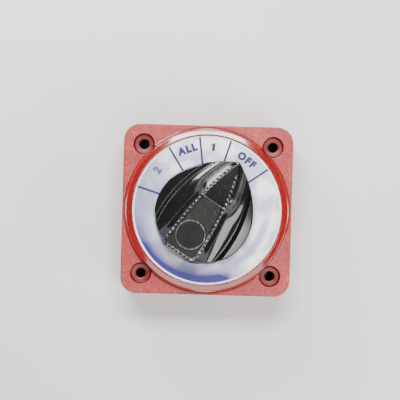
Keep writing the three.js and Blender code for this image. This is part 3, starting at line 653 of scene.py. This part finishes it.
def make_housing():
    """The hollow square housing, stippled outside and smooth inside its screw dishes, the dishes
    painted a darker red as painted shade.
    """
    shell = housing_block()
    inner = rounded_square(HOUSING_HALF - WALL, HOUSING_CORNER - WALL)
    cavity = prism("cavity", inner, -OVER, PLATE_BACK)
    bore = plain_cutter(BASE_BORE, PLATE_BACK - OVER, PLATE_FRONT + OVER, 160)
    combine(shell, [cavity, bore], "DIFFERENCE")
    columns = [part for x, y in HOLE_PLACES for part in screw_column(x, y)]
    combine(shell, columns, "UNION")
    cutters = [dish_cutter(x, y) for x, y in HOLE_PLACES]
    cutters += [cable_entry(angle) for angle in ENTRY_ANGLES]
    combine(shell, cutters, "DIFFERENCE")
    place(shell, "housing", "red_plastic", stipple_finish, "front_housing")
    across, along, height = face_centres(shell)
    # Faces inside the dishes: satin, and darker red as painted shade.
    smooth = np.zeros(len(height), dtype=bool)
    for x, y in HOLE_PLACES:
        near = np.hypot(across - x, along - y) < DISH_RADIUS + 0.4
        smooth |= near & (height < PLATE_FRONT - 0.2)
    return second_finish(shell, shaded_red_satin, smooth)


def detent_track(top):
    """The ring behind the dial, with a notch for each ball at each position."""
    profile = rounded(ring(TRACK_INNER, TRACK_OUTER, TRACK_BACK, top), 0.3, 2)
    track = lathe("track", profile, 192)
    notches = []
    for angle in (ball + detent for ball in BALL_ANGLES for detent in DETENT_ANGLES):
        outline = arc(0, 0, NOTCH_RADIUS, 0, TURN, 32)[:-1]
        notch = prism("notch", outline, TRACK_BACK - OVER, DETENT_HEIGHT + NOTCH_RADIUS)
        notches.append(moved(notch, *polar(NOTCH_REACH, angle)))
    return combine(track, notches, "DIFFERENCE")


def turn_stop(angle, top):
    """One of the two blocks that the rotor's lug meets at the ends of its turn."""
    outline = rounded(block(*STOP_REACH, STOP_SIZE / 2), 0.4, 3)
    return moved(prism("stop", outline, STOP_BACK, top), turn=math.radians(angle))


def make_bezel():
    """Dial floor and raised ring, with soft edges, cut by the four dishes."""
    foot = [(65.9, 41.9), (65.3, 42.1), (65.0, 42.6)]
    profile = rounded([
        (STEM_BORE, DIAL_BACK), (64.0, DIAL_BACK), (64.0, 41.9)] + foot + [
        (63.15, 47.9), (59.4, BEZEL_CREST), (DIAL_RADIUS, BEZEL_CREST - 0.15),
        (DIAL_RADIUS, DIAL_FLOOR), (SEAL_SEAT, DIAL_FLOOR), (SEAL_SEAT, SEAL_FLOOR),
        (STEM_BORE, SEAL_FLOOR)], 0.35, 3)
    bezel = lathe("bezel", profile, BEZEL_FACETS, 50)
    combine(bezel, [dish_cutter(x, y) for x, y in HOLE_PLACES], "DIFFERENCE", 50)
    outer, chamfer = 3.8, 0.3
    top, bottom = DIAL_BACK + 0.3, BASE_FRONT + 0.3
    pillar = [(SCREW_BORE, bottom), (outer - chamfer, bottom), (outer, bottom + chamfer),
              (outer, top), (SCREW_BORE, top)]
    pillars = [moved(lathe("pillar", pillar, 32), *polar(SCREW_CIRCLE, angle))
               for angle in SCREW_ANGLES]
    stops = [turn_stop(angle, top) for angle in STOP_ANGLES]
    joined(bezel, pillars + stops + [detent_track(top)])
    return place(bezel, "housing", "red_plastic", red_gloss)


def make_label():
    """The printed disc that lies inside the bezel."""
    profile = rounded(ring(LABEL_BORE, LABEL_RADIUS, DIAL_FRONT, LABEL_TOP), 0.1, 2)
    label = lathe("dial_disc", profile, BEZEL_FACETS)
    return place(label, "housing", "label", dial_finish, "dial_label")


INK_HEIGHT = LABEL_TOP + 0.03
INK_DEPTH = 0.02
DIVIDER_REACH = (30, 57.6)
DIVIDER_WIDTH = 1.6
DIVIDER_BEARINGS = (-72.5, -32.6, -7.0, 17.9, 54.7)
FONT_SIZE = 1.4  # size of a font over the height of its capitals


def dial_point(radius, clockwise):
    """A place on the dial, by degrees clockwise from its top."""
    return polar(radius, 90 - clockwise)


def make_divider(number, clockwise):
    """A printed line between two of the dial's positions."""
    half = DIVIDER_WIDTH / 2
    near, far = DIVIDER_REACH
    outline = [(-half, near), (half, near), (half, far), (-half, far)]
    line = prism(f"divider_{number}", outline, INK_HEIGHT - INK_DEPTH, INK_HEIGHT)
    moved(line, turn=-math.radians(clockwise))
    place(line, "housing", "label", navy_ink)


def make_word(name, text, clockwise, radius, height, weight, material):
    """Lettering on the dial, upright at its own angle, as a thin raised mesh."""
    curve = bpy.data.curves.new(name, "FONT")
    curve.body = text
    curve.size = height * FONT_SIZE * MM
    curve.offset = weight * MM
    curve.extrude = INK_DEPTH / 2 * MM
    curve.align_x = "CENTER"
    curve.align_y = "CENTER"
    curve.space_character = 1.3
    lettering = bpy.data.objects.new(name + "_curve", curve)
    bpy.context.scene.collection.objects.link(lettering)
    mesh = evaluated_mesh(lettering)
    bpy.data.objects.remove(lettering)
    word = bpy.data.objects.new(name, mesh)
    bpy.context.scene.collection.objects.link(word)
    x, y = dial_point(radius, clockwise)
    moved(word, x, y, INK_HEIGHT - INK_DEPTH / 2, -math.radians(clockwise))
    place(word, "housing", "label", material)


def make_figure_one(clockwise, radius, height):
    """A bold figure 1: a stem with a slanted flag."""
    top, stem = height / 2, 1.15
    outline = [(-stem, -top), (stem, -top), (stem, top), (-0.35, top), (-0.8, top - 0.9),
               (-2.5, top - 1.4), (-2.5, top - 2.6), (-stem, top - 2.1)]
    figure = prism("mark_1", outline, INK_HEIGHT - INK_DEPTH, INK_HEIGHT)
    x, y = dial_point(radius, clockwise)
    moved(figure, x, y, turn=-math.radians(clockwise))
    place(figure, "housing", "label", navy_ink)


def make_dial_marks():
    """The lines and the generic names of the four positions."""
    for number, angle in enumerate(DIVIDER_BEARINGS, 1):
        make_divider(number, angle)
    make_word("mark_off", "OFF", 36.8, 50.0, 5.4, 0.6, navy_ink)
    make_figure_one(4.6, 49.8, 6.3)
    make_word("mark_all", "ALL", -19.2, 49.8, 5.4, 0.6, navy_ink)
    make_word("mark_2", "2", -52.5, 49.6, 5.8, 0.55, grey_ink)


# ---- knob

KNOB_HEIGHT = KNOB_TOP - KNOB_BASE
SKIRT_RADIUS = 38.5
SKIRT_V = -4.5
NOSE_RADIUS = 73.0
NOSE_CENTRE = (-30.0, -21.5)
NOSE_START = 14.5
TIP_V = 45.0
TIP_HEIGHT = 13.0
GRIP_HALF = 14.7
GRIP_END = -39.5
GRIP_CORNER = 50.5
FLANK_WIDTH = 4.2
FLANK_DROP = 8.0
NOSE_DROP = 3.0
NOSE_BLEND = 20
TROUGH_HEIGHT = 4.0
TROUGH_WALL = 3.4
RIM_HEIGHT = 6.3
RIM_REACH = 31.7
RIM_V = -14
RIM_BEND = 200
RIM_FALL = 0.12
SCOOP_POWER = 1.6
END_SLOPE = 4
CORNER_SLOPE = 3
CREASE_BLEND = 0.4
CORNER_BLEND = 1.2
WALL_BLEND = 0.8
EDGE_BLEND = 0.35
SKIRT_EDGE = 1.0
POCKET_FRONT = 8.0
POCKET_BACK = -37.5
POCKET_DEPTH = 1.6
POCKET_INSET = 1.8
POCKET_CORNER = 2.5
TOOTH_PITCH = 3.5
TOOTH_DEPTH = 0.8
TOOTH_REACH = 1.3
TOOTH_SOFT = 0.3
TEETH_FRONT = 38
TEETH_BACK = -36
TEETH_HALF = 11
SLOT_PLACE = (-12.5, -36.9)
SLOT_HALF = (0.7, 1.7)
SLOT_DEPTH = 1.2
COVER_GAP = 0.35
PLUG_V = -22.7
PLUG_RADIUS = 11.6
PLUG_GAP = 0.25


def soft_min(a, b, blend):
    """The lesser of two heights, rounded where they cross."""
    mix = np.clip(0.5 + 0.5 * (b - a) / blend, 0, 1)
    return b * (1 - mix) + a * mix - blend * mix * (1 - mix)


def soft_max(a, b, blend):
    """The greater of two heights, rounded where they cross."""
    return -soft_min(-a, -b, blend)


def outline_half(v):
    """Half the knob's width at a distance along it."""
    skirt = np.sqrt(np.maximum(SKIRT_RADIUS ** 2 - (v - SKIRT_V) ** 2, 0.02))
    nose = NOSE_CENTRE[0] + np.sqrt(np.maximum(NOSE_RADIUS ** 2 - (v - NOSE_CENTRE[1]) ** 2, 0))
    return np.where(v < NOSE_START, skirt, np.maximum(nose, 0.25))


def outline_depth(u, v):
    """How far a point lies inside the knob's outline."""
    skirt = SKIRT_RADIUS - np.hypot(u, v - SKIRT_V)
    nose = NOSE_RADIUS - np.hypot(np.abs(u) - NOSE_CENTRE[0], v - NOSE_CENTRE[1])
    return np.where(v < NOSE_START, skirt, nose)


def grip_half(v):
    """Half the width of the raised grip at a distance along it."""
    along = (v + TIP_V) / (2 * TIP_V - 2)
    return GRIP_HALF * np.maximum(1 - along ** 2, 0) ** 0.75


def grip_top(v):
    """Height of the grip, level to the cover's front and then down to the tip."""
    ahead = (v - POCKET_FRONT) / (TIP_V - POCKET_FRONT)
    slope = KNOB_HEIGHT - ahead * (KNOB_HEIGHT - TIP_HEIGHT)
    return soft_min(np.full_like(v, KNOB_HEIGHT), slope, 0.25)


def flank_drop(v):
    """Height of the steep flank beside the grip, which gets less towards the tip."""
    return eased(FLANK_DROP, NOSE_DROP, np.clip(v / NOSE_BLEND, 0, 1))


def teeth(along, across):
    """Notches cut into an edge: 1 inside a notch and 0 between, fading away from the edge."""
    wave = 0.5 + 0.5 * np.cos(TURN * along / TOOTH_PITCH)
    notch = np.clip((wave - 0.45) / TOOTH_SOFT, 0, 1)
    near = np.clip((across + TOOTH_REACH) / TOOTH_SOFT, 0, 1)
    return notch * near


def tooth_depth(u, v):
    """Depth of the notches along the grip's sides and across its end."""
    a = np.abs(u)
    side = teeth(v, a - grip_half(v)) * (v < TEETH_FRONT) * (v > TEETH_BACK)
    end = teeth(u + TOOTH_PITCH / 2, GRIP_END - v) * (a < TEETH_HALF)
    return TOOTH_DEPTH * np.maximum(side, end)


def flank_and_scoop(a, crease, trough, top, drop):
    """The steep flank beside the grip, and the scoop that runs down from its foot."""
    crease_height = top - drop
    flank = crease_height + drop * (crease - a) / FLANK_WIDTH
    share = np.clip((trough - a) / np.maximum(trough - crease, 1), 0, 1)
    fall = crease_height - TROUGH_HEIGHT
    scoop = TROUGH_HEIGHT + fall * share ** SCOOP_POWER
    steep = drop / FLANK_WIDTH > SCOOP_POWER * fall / (trough - crease)
    joint = np.where(steep, soft_max(flank, scoop, CREASE_BLEND),
                     soft_min(flank, scoop, CREASE_BLEND))
    near = np.abs(a - crease) < 2 * CREASE_BLEND
    return np.where(near, joint, np.where(a < crease, flank, scoop))


def side_surface(a, v, top):
    """Height beside the grip: flank, scoop, the wall of the trough and the rim."""
    crease = grip_half(v) + FLANK_WIDTH
    rim = RIM_REACH - (v - RIM_V) ** 2 / RIM_BEND
    trough = rim - TROUGH_WALL
    inside = flank_and_scoop(a, crease, trough, top, flank_drop(v))
    wall = eased(TROUGH_HEIGHT, RIM_HEIGHT, np.clip((a - trough) / TROUGH_WALL, 0, 1))
    return np.where(a > trough, wall - RIM_FALL * np.maximum(a - rim, 0), inside)


def knob_surface(u, v):
    """Height of the knob's upper surface above its base, with softened edges."""
    a = np.abs(u)
    top = grip_top(v)
    side = side_surface(a, v, top)
    end = KNOB_HEIGHT - END_SLOPE * (GRIP_END - v)
    corner = KNOB_HEIGHT - CORNER_SLOPE * (a - v - GRIP_CORNER) / math.sqrt(2)
    wall = soft_min(side, soft_min(end, corner, CORNER_BLEND), WALL_BLEND)
    height = soft_min(top - tooth_depth(u, v), wall, EDGE_BLEND) - corner_slot(u, v)
    depth = np.clip(SKIRT_EDGE - outline_depth(u, v), 0, SKIRT_EDGE)
    return height - (SKIRT_EDGE - np.sqrt(np.maximum(SKIRT_EDGE ** 2 - depth ** 2, 0)))


def in_pocket(u, v):
    """How far a point lies inside the recess for the cover."""
    from_side = grip_half(v) - POCKET_INSET - np.abs(u)
    from_end = np.minimum(POCKET_FRONT - v, v - POCKET_BACK)
    cut = from_side + from_end - POCKET_CORNER
    return np.minimum(np.minimum(from_side, from_end), cut / math.sqrt(2))


def corner_slot(u, v):
    """Depth of the small slot beside the cover's rear corner."""
    x, y = u - SLOT_PLACE[0], v - SLOT_PLACE[1]
    across = x * math.cos(POINTER) + y * math.sin(POINTER)
    along = y * math.cos(POINTER) - x * math.sin(POINTER)
    inside = np.minimum(SLOT_HALF[0] - np.abs(across), SLOT_HALF[1] - np.abs(along))
    return SLOT_DEPTH * np.clip(inside / 0.2 + 0.5, 0, 1)


def knob_painted_highlight(u, v):
    """Where the knob is painted pale as a painted highlight: the crests of its teeth,
    and the lip and ledge round the cover."""
    inner, outer, crest, ledge_back, ledge_right = 1.1, 0.5, -0.2, -34, -14
    half = grip_half(v)
    a = np.abs(u)
    side = (a > half - inner) * (a < half + outer) * (np.abs(v) < -TEETH_BACK)
    end = (v < GRIP_END + inner) * (v > GRIP_END - outer) * (a < TEETH_HALF)
    crest_side = np.cos(TURN * v / TOOTH_PITCH) < crest
    crest_end = np.cos(TURN * (u + TOOTH_PITCH / 2) / TOOTH_PITCH) < crest
    lip = (np.abs(v - POCKET_FRONT - 0.3) < 0.22) * (a < half - 1.4)
    ledge = (in_pocket(u, v) < 0) * (a < half - inner) * (v > GRIP_END + 1)
    ledge = ledge * ((v < ledge_back) + (u > 0) * (v < ledge_right) > 0)
    pale_marks = side * crest_side + end * crest_end + lip + ledge > 0
    return pale_marks & (corner_slot(u, v) == 0)


def knob_grid(rows, columns):
    """Rows of points across the knob's upper surface, from its back to its tip."""
    back = SKIRT_V - SKIRT_RADIUS
    t = np.linspace(0, 1, rows + 1)
    v = back + (TIP_V - back) * np.where(t < 1 / 6, 6 * t ** 2, t)
    v_grid, s_grid = np.meshgrid(v, np.linspace(-1, 1, columns + 1), indexing="ij")
    u_grid = s_grid * outline_half(v_grid)
    z_grid = knob_surface(u_grid, v_grid)
    recess = np.clip(in_pocket(u_grid, v_grid) / 0.3, 0, 1)
    z_grid = z_grid * (1 - recess) + (KNOB_HEIGHT - POCKET_DEPTH) * recess
    return np.stack([u_grid, v_grid, z_grid], axis=-1).reshape(-1, 3).tolist()


def grid_border(rows, columns):
    """The places of a grid's outer points, in order round it."""
    width = columns + 1
    border = list(range(width))
    border += [row * width + columns for row in range(1, rows + 1)]
    border += [rows * width + column for column in range(columns - 1, -1, -1)]
    return border + [row * width for row in range(rows - 1, 0, -1)]


def make_knob():
    """The pointer knob: a fine grid above, a skirt wall round it and a flat base."""
    rows, columns = 340, 300
    vertices = knob_grid(rows, columns)
    width = columns + 1
    faces = []
    for row in range(rows):
        for start in range(row * width, row * width + columns):
            faces.append((start, start + 1, start + width + 1, start + width))
    border = grid_border(rows, columns)
    base, count = len(vertices), len(border)
    for level in (0.5, 0.0):
        vertices += [[vertices[index][0], vertices[index][1], level] for index in border]
    for i in range(count):
        j = (i + 1) % count
        faces.append((border[i], base + i, base + j, border[j]))
        faces.append((base + i, base + count + i, base + count + j, base + j))
    faces.append(tuple(base + count + i for i in range(count)))
    knob = add_mesh("knob_shell", vertices, faces, 50)
    across, along, height = face_centres(knob)
    # Faces that take the painted highlight of the edge finish.
    pale_marks = knob_painted_highlight(across, along) * (height > 8)
    moved(knob, z=KNOB_BASE, turn=-POINTER)
    place(knob, "knob", "black_plastic", black_gloss, "knob")
    return second_finish(knob, painted_edge_highlight, pale_marks)


def cover_outline(inset):
    """The outline of the recess, brought in by an inset."""
    corner = POCKET_CORNER
    stations = np.linspace(POCKET_BACK + inset + corner, POCKET_FRONT - inset - corner, 24)
    side = [(float(grip_half(np.array(v))) - POCKET_INSET - inset, float(v)) for v in stations]
    front = POCKET_FRONT - inset
    back = POCKET_BACK + inset
    front_half = side[-1][0]
    back_half = side[0][0]
    right = arc(back_half - corner, back + corner, corner, -TURN / 4, 0, 8)[:-1] + side
    right += arc(front_half - corner, front - corner, corner, 0, TURN / 4, 8)[1:]
    return right + [(-u, v) for u, v in reversed(right)]


def make_cover():
    """The panel let into the grip, with a round hole for the plug."""
    bottom = KNOB_HEIGHT - POCKET_DEPTH + 0.1
    top = KNOB_HEIGHT - 0.4
    cover = prism("cover_panel", cover_outline(COVER_GAP), bottom, top)
    hole = plain_cutter(PLUG_RADIUS + PLUG_GAP, bottom - OVER, top + OVER, 128)
    combine(cover, [moved(hole, 0, PLUG_V)], "DIFFERENCE")
    bevelled(cover, 0.25, 3)
    moved(cover, z=KNOB_BASE, turn=-POINTER)
    return place(cover, "knob", "satin_black", cover_satin, "knob_cover")


def make_plug():
    """A flat plug with a raised lip, painted pale as a painted highlight, and a groove inside
    it.
    """
    face, seat, barrel, lip_height = KNOB_HEIGHT - 0.5, KNOB_HEIGHT - 1.5, 10.2, 0.5
    profile = rounded([
        (AXIS, seat - 9.5), (barrel, seat - 9.5), (barrel, seat), (PLUG_RADIUS, seat),
        (PLUG_RADIUS, face + 0.1), (11.3, face + lip_height), (10.9, face + lip_height),
        (10.5, face), (10.2, face - 0.15), (9.9, face), (AXIS, face)], 0.15, 3)
    plug = lathe("lock_blank", profile, 160)
    across, along, height = face_centres(plug)
    # The lip's faces, painted pale as a painted highlight.
    lip = (np.hypot(across, along) > 10.8) * (height > face)
    moved(plug, 0, PLUG_V)
    moved(plug, z=KNOB_BASE, turn=-POINTER)
    place(plug, "knob", "satin_black", plug_satin, "lock_blank_plug")
    return second_finish(plug, painted_edge_highlight, lip)


# ---- terminal base

def make_base():
    """The disc that carries the terminals, its wall, and the barriers between them."""
    pivot = 4.15
    profile = rounded([(pivot, BASE_BACK), (BASE_RADIUS, BASE_BACK), (BASE_RADIUS, BASE_TOP),
                       (BASE_BORE, BASE_TOP), (BASE_BORE, BASE_FRONT), (pivot, BASE_FRONT)], 0.6)
    base = lathe("base_moulding", profile, 160)
    barriers = []
    for angle in BARRIER_ANGLES:
        outline = rounded(block(26, BASE_BORE, 1.5), 1.2)
        barrier = bevelled(prism("barrier", outline, 8, 21), 0.5, 2)
        barriers.append(moved(barrier, turn=math.radians(angle)))
    combine(base, barriers, "UNION")
    holes = []
    for radius, reach, angles in ((SCREW_BORE, SCREW_CIRCLE, SCREW_ANGLES),
                                  (STUD_BORE, STUD_CIRCLE, STUDS.values())):
        for angle in angles:
            bore = plain_cutter(radius, BASE_BACK - OVER, BASE_TOP, 48)
            holes.append(moved(bore, *polar(reach, angle)))
    combine(base, holes, "DIFFERENCE")
    return place(base, "housing", "base_black", base_black, "terminal_base")


def make_gasket():
    """A flat ring with a sealing bead on each face."""
    inner, outer, bottom, top = 50.4, 53.8, 33.7, 34.9
    middle, bead, waist = (inner + outer) / 2, 0.7, 0.15
    profile = rounded([
        (inner, bottom + waist), (middle - bead, bottom + waist), (middle, bottom),
        (middle + bead, bottom + waist), (outer, bottom + waist), (outer, top - waist),
        (middle + bead, top - waist), (middle, top), (middle - bead, top - waist),
        (inner, top - waist)], 0.2, 3)
    gasket = lathe("base_seal", profile, 160)
    return place(gasket, "housing", "rubber", rubber, "base_gasket")


def make_shaft_seal():
    """The O-ring round the knob's stem."""
    wire, reach, height = 1.05, 13.65, 45.3
    section = arc(reach, height, wire, 0, TURN, 24)[:-1]
    return place(lathe("stem_ring", section, 128), "housing", "rubber", rubber, "shaft_seal")


def threaded_stud(name, bottom, head_top):
    """A stud with a helical thread, a chamfered end and a round head."""
    sides, depth, chamfer = 48, 0.5, 0.9
    radius, head_radius, thread_end, seat = STUD_RADIUS, STUD_HEAD, BASE_FRONT, 29.6
    loops = []
    for height in np.arange(bottom, thread_end, THREAD_PITCH / 8):
        loop = []
        for side in range(sides):
            turn = TURN * side / sides
            phase = (height / THREAD_PITCH - side / sides) % 1
            groove = depth * abs(2 * phase - 1)
            reach = min(radius - groove, radius - chamfer + (height - bottom))
            loop.append((reach * math.cos(turn), reach * math.sin(turn), height))
        loops.append(loop)
    neck = radius - depth / 2
    for reach, height in ((neck, thread_end), (neck, seat), (head_radius - 0.3, seat),
                          (head_radius, seat + 0.3), (head_radius, head_top - chamfer),
                          (head_radius - chamfer, head_top)):
        loops.append(circle(reach, height, sides))
    return skin(name, loops, 40)


def hex_nut(name, bottom, top):
    """A hexagon nut, its corners turned off at 30 degrees and its bore chamfered."""
    sides, facing, bore, lip = 96, 0.47 * NUT_FLATS, NUT_BORE, 0.6
    heights = np.concatenate([np.linspace(0, 1.2, 7), (top - bottom) - np.linspace(1.2, 0, 7)])
    loops = []
    for height in heights:
        from_face = min(height, top - bottom - height)
        loop = []
        for side in range(sides):
            turn = TURN * side / sides
            flat = NUT_FLATS / 2 / math.cos(turn % (TURN / 6) - TURN / 12)
            reach = min(flat, facing + from_face * math.sqrt(3))
            loop.append((reach * math.cos(turn), reach * math.sin(turn), bottom + height))
        loops.append(loop)
    for reach, height in ((bore + lip, top), (bore, top - lip), (bore, bottom + lip),
                          (bore + lip, bottom)):
        loops.append(circle(reach, height, sides))
    return skin(name, loops, 30, closed=True)


def flat_washer(name, bottom, top):
    """A plain ring with soft edges."""
    profile = ring(WASHER_BORE, FLAT_WASHER_RADIUS, bottom, top)
    return lathe(name, rounded(profile, 0.3), 96)


def spring_washer(name, bottom, top):
    """A split ring of square wire, one end a little above the other."""
    gap, rise = 12, 0.2
    section = rounded(ring(WASHER_BORE, LOCK_WASHER_RADIUS, bottom + rise, top - rise), 0.25, 3)
    loops = []
    for degrees in np.linspace(gap, 360 - gap, 90):
        lift = rise * (2 * (degrees - gap) / (360 - 2 * gap) - 1)
        turn = math.radians(degrees)
        loops.append([(reach * math.cos(turn), reach * math.sin(turn), height + lift)
                      for reach, height in section])
    return skin(name, loops, 35)


def make_terminals():
    """A stud, two nuts and two washers at each of the three terminals."""
    kinds = (("threaded_stud", threaded_stud, "stud", brass, "brass"),
             ("hex_retaining_nut", hex_nut, "retaining_nut", brass, "brass"),
             ("hex_terminal_nut", hex_nut, "terminal_nut", brass, "brass"),
             ("round_flat_washer", flat_washer, "flat_washer", brass, "brass"),
             ("split_lock_washer", spring_washer, "lock_washer", steel, "steel"))
    for label, angle in STUDS.items():
        for piece_name, make, node_name, material, slot in kinds:
            node = f"{node_name}_{label}"
            piece = make(f"{piece_name}_{label}", low(node)[2], high(node)[2])
            moved(piece, *polar(STUD_CIRCLE, angle))
            place(piece, "housing", slot, material, node)


def make_contact_spring():
    """The coil that presses the moving contact, wound to fill its node's box."""
    node = "contact_spring"
    wire, turns, steps, sides = 0.45, 4, 40, 14
    (left, front, bottom), (right, back, top) = low(node), high(node)
    middle_x, middle_y = (left + right) / 2, (front + back) / 2
    radius = (right - left) / 2 - wire
    start, end = bottom + wire, top - wire
    slope = math.atan2(end - start, TURN * radius * turns)
    loops = []
    for step in range(turns * steps + 1):
        turn = TURN * step / steps
        height = start + (end - start) * step / (turns * steps)
        loop = []
        for side in range(sides):
            a = TURN * side / sides
            out, rise = wire * math.cos(a), wire * math.sin(a)
            along = -rise * math.sin(slope)
            reach = radius + out
            loop.append((middle_x + reach * math.cos(turn) - along * math.sin(turn),
                         middle_y + reach * math.sin(turn) + along * math.cos(turn),
                         height + rise * math.cos(slope)))
        loops.append(loop)
    spring = skin("wound_contact_spring", loops, 40)
    place(spring, "knob", "steel", steel, node)
    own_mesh(spring)


def pan_screw(name):
    """A pan head with a cross recess, on a plain shank."""
    bottom, seat = low("base_screw_1")[2], high("base_screw_1")[2]
    shoulder, head, shank = bottom + 2.6, 3.9, 2.0
    dome = [(head * math.sin(a), bottom + 1.5 * (1 - math.cos(a)))
            for a in np.linspace(0.02, 1.57, 10)]
    profile = dome + [(head, shoulder - 0.2), (3.7, shoulder), (shank, shoulder),
                      (shank, seat - 2), (0.3, seat), (AXIS, seat), (AXIS, bottom)]
    screw = lathe(name, profile, 64)
    arm, half, depth = 2.2, 0.5, 1.4
    cross = []
    for turn in (0, TURN / 4):
        recess = prism("arm", block(-arm, arm, half), bottom - OVER, bottom + depth)
        cross.append(moved(recess, turn=turn))
    return combine(screw, cross, "DIFFERENCE")


def make_base_screws():
    """Four screws, each left at a turn of its own."""
    for number, angle in enumerate(SCREW_ANGLES, 1):
        screw = pan_screw(f"pan_screw_{number}")
        moved(screw, *polar(SCREW_CIRCLE, angle), turn=math.radians(17 * number))
        place(screw, "housing", "steel", steel, f"base_screw_{number}")


make_housing()
make_bezel()
make_label()
make_dial_marks()
make_knob()
make_cover()
make_plug()
make_base()
make_gasket()
make_shaft_seal()
make_terminals()
make_base_screws()
make_contact_spring()


# ---- pieces kept from the CAD

CAD_FINISHES = {"copper": copper, "steel": steel, "rotor_plastic": cream_nylon}


def finish_cad_nodes():
    """Give the nodes in these slots their material; other slots have visual pieces."""
    for entry in frame["record"]["subparts"]:
        node = bpy.data.objects.get(entry["node"])
        material = CAD_FINISHES.get(entry["material_slot"])
        if node and material:
            for slot in node.material_slots:
                slot.material = material


finish_cad_nodes()


# ---- floor and lights

FLOOR_HALF = 2000
FLOOR_TOP = -0.02
CAMERA_AIM = (-0.0056, 0.0079, 0.042)
CAMERA_RISE = 0.997
CAMERA_TURN = math.atan2(0.028, 0.9996)
LIGHT_AIM = (0, 0, 0.05)
# where each light is, its width and height in metres, and its power
LIGHTS = {
    "top_box": ((0.0, 0.43, 0.8), 0.52, 0.22, 11),
    "lower_box": ((0.0, -0.4, 0.8), 0.84, 0.42, 4.5),
    "right_box": ((0.63, -0.41, 0.32), 0.5, 0.4, 7),
    "left_strip": ((-0.36, 0.59, 0.28), 0.26, 0.34, 7),
    "rim_box": ((0.17, -0.11, 0.85), 0.12, 0.12, 1),
}


def make_floor():
    """A plain pale floor just under the base."""
    corners = [(x, y, FLOOR_TOP) for x, y in block(-FLOOR_HALF, FLOOR_HALF, FLOOR_HALF)]
    floor = add_mesh("floor", corners, [(0, 1, 2, 3)])
    shader = Shader("pale_floor", srgb(222, 222, 220), 0.7)
    shader.roughness(shader.spread(shader.noise(40, 3), 0.3, 0.7, 0.6, 0.8))
    floor.data.materials.append(shader.material)


def add_light(name, place_at, width, height, power):
    """A white rectangular light aimed at the object."""
    data = bpy.data.lights.new(name, "AREA")
    data.shape = "RECTANGLE"
    data.size = width
    data.size_y = height
    data.energy = power
    light = bpy.data.objects.new(name, data)
    light.location = place_at
    direction = Vector(LIGHT_AIM) - Vector(place_at)
    light.rotation_euler = direction.to_track_quat("-Z", "Y").to_euler()
    bpy.context.scene.collection.objects.link(light)


def make_world():
    """A faint even light from all round."""
    world = bpy.data.worlds.new("studio")
    world.use_nodes = True
    background = world.node_tree.nodes["Background"]
    background.inputs["Color"].default_value = (0.8, 0.82, 0.85, 1)
    background.inputs["Strength"].default_value = 0.18
    bpy.context.scene.world = world


def make_camera():
    """A long lens looking straight down."""
    data = bpy.data.cameras.new("camera")
    data.lens = 114
    data.sensor_width = 36
    camera = bpy.data.objects.new("camera", data)
    camera.location = Vector(CAMERA_AIM) + Vector((0, 0, CAMERA_RISE))
    camera.rotation_euler = (0, 0, CAMERA_TURN)
    bpy.context.scene.collection.objects.link(camera)
    bpy.context.scene.camera = camera


make_floor()
make_world()
make_camera()
for light_name, light_values in LIGHTS.items():
    add_light(light_name, *light_values)
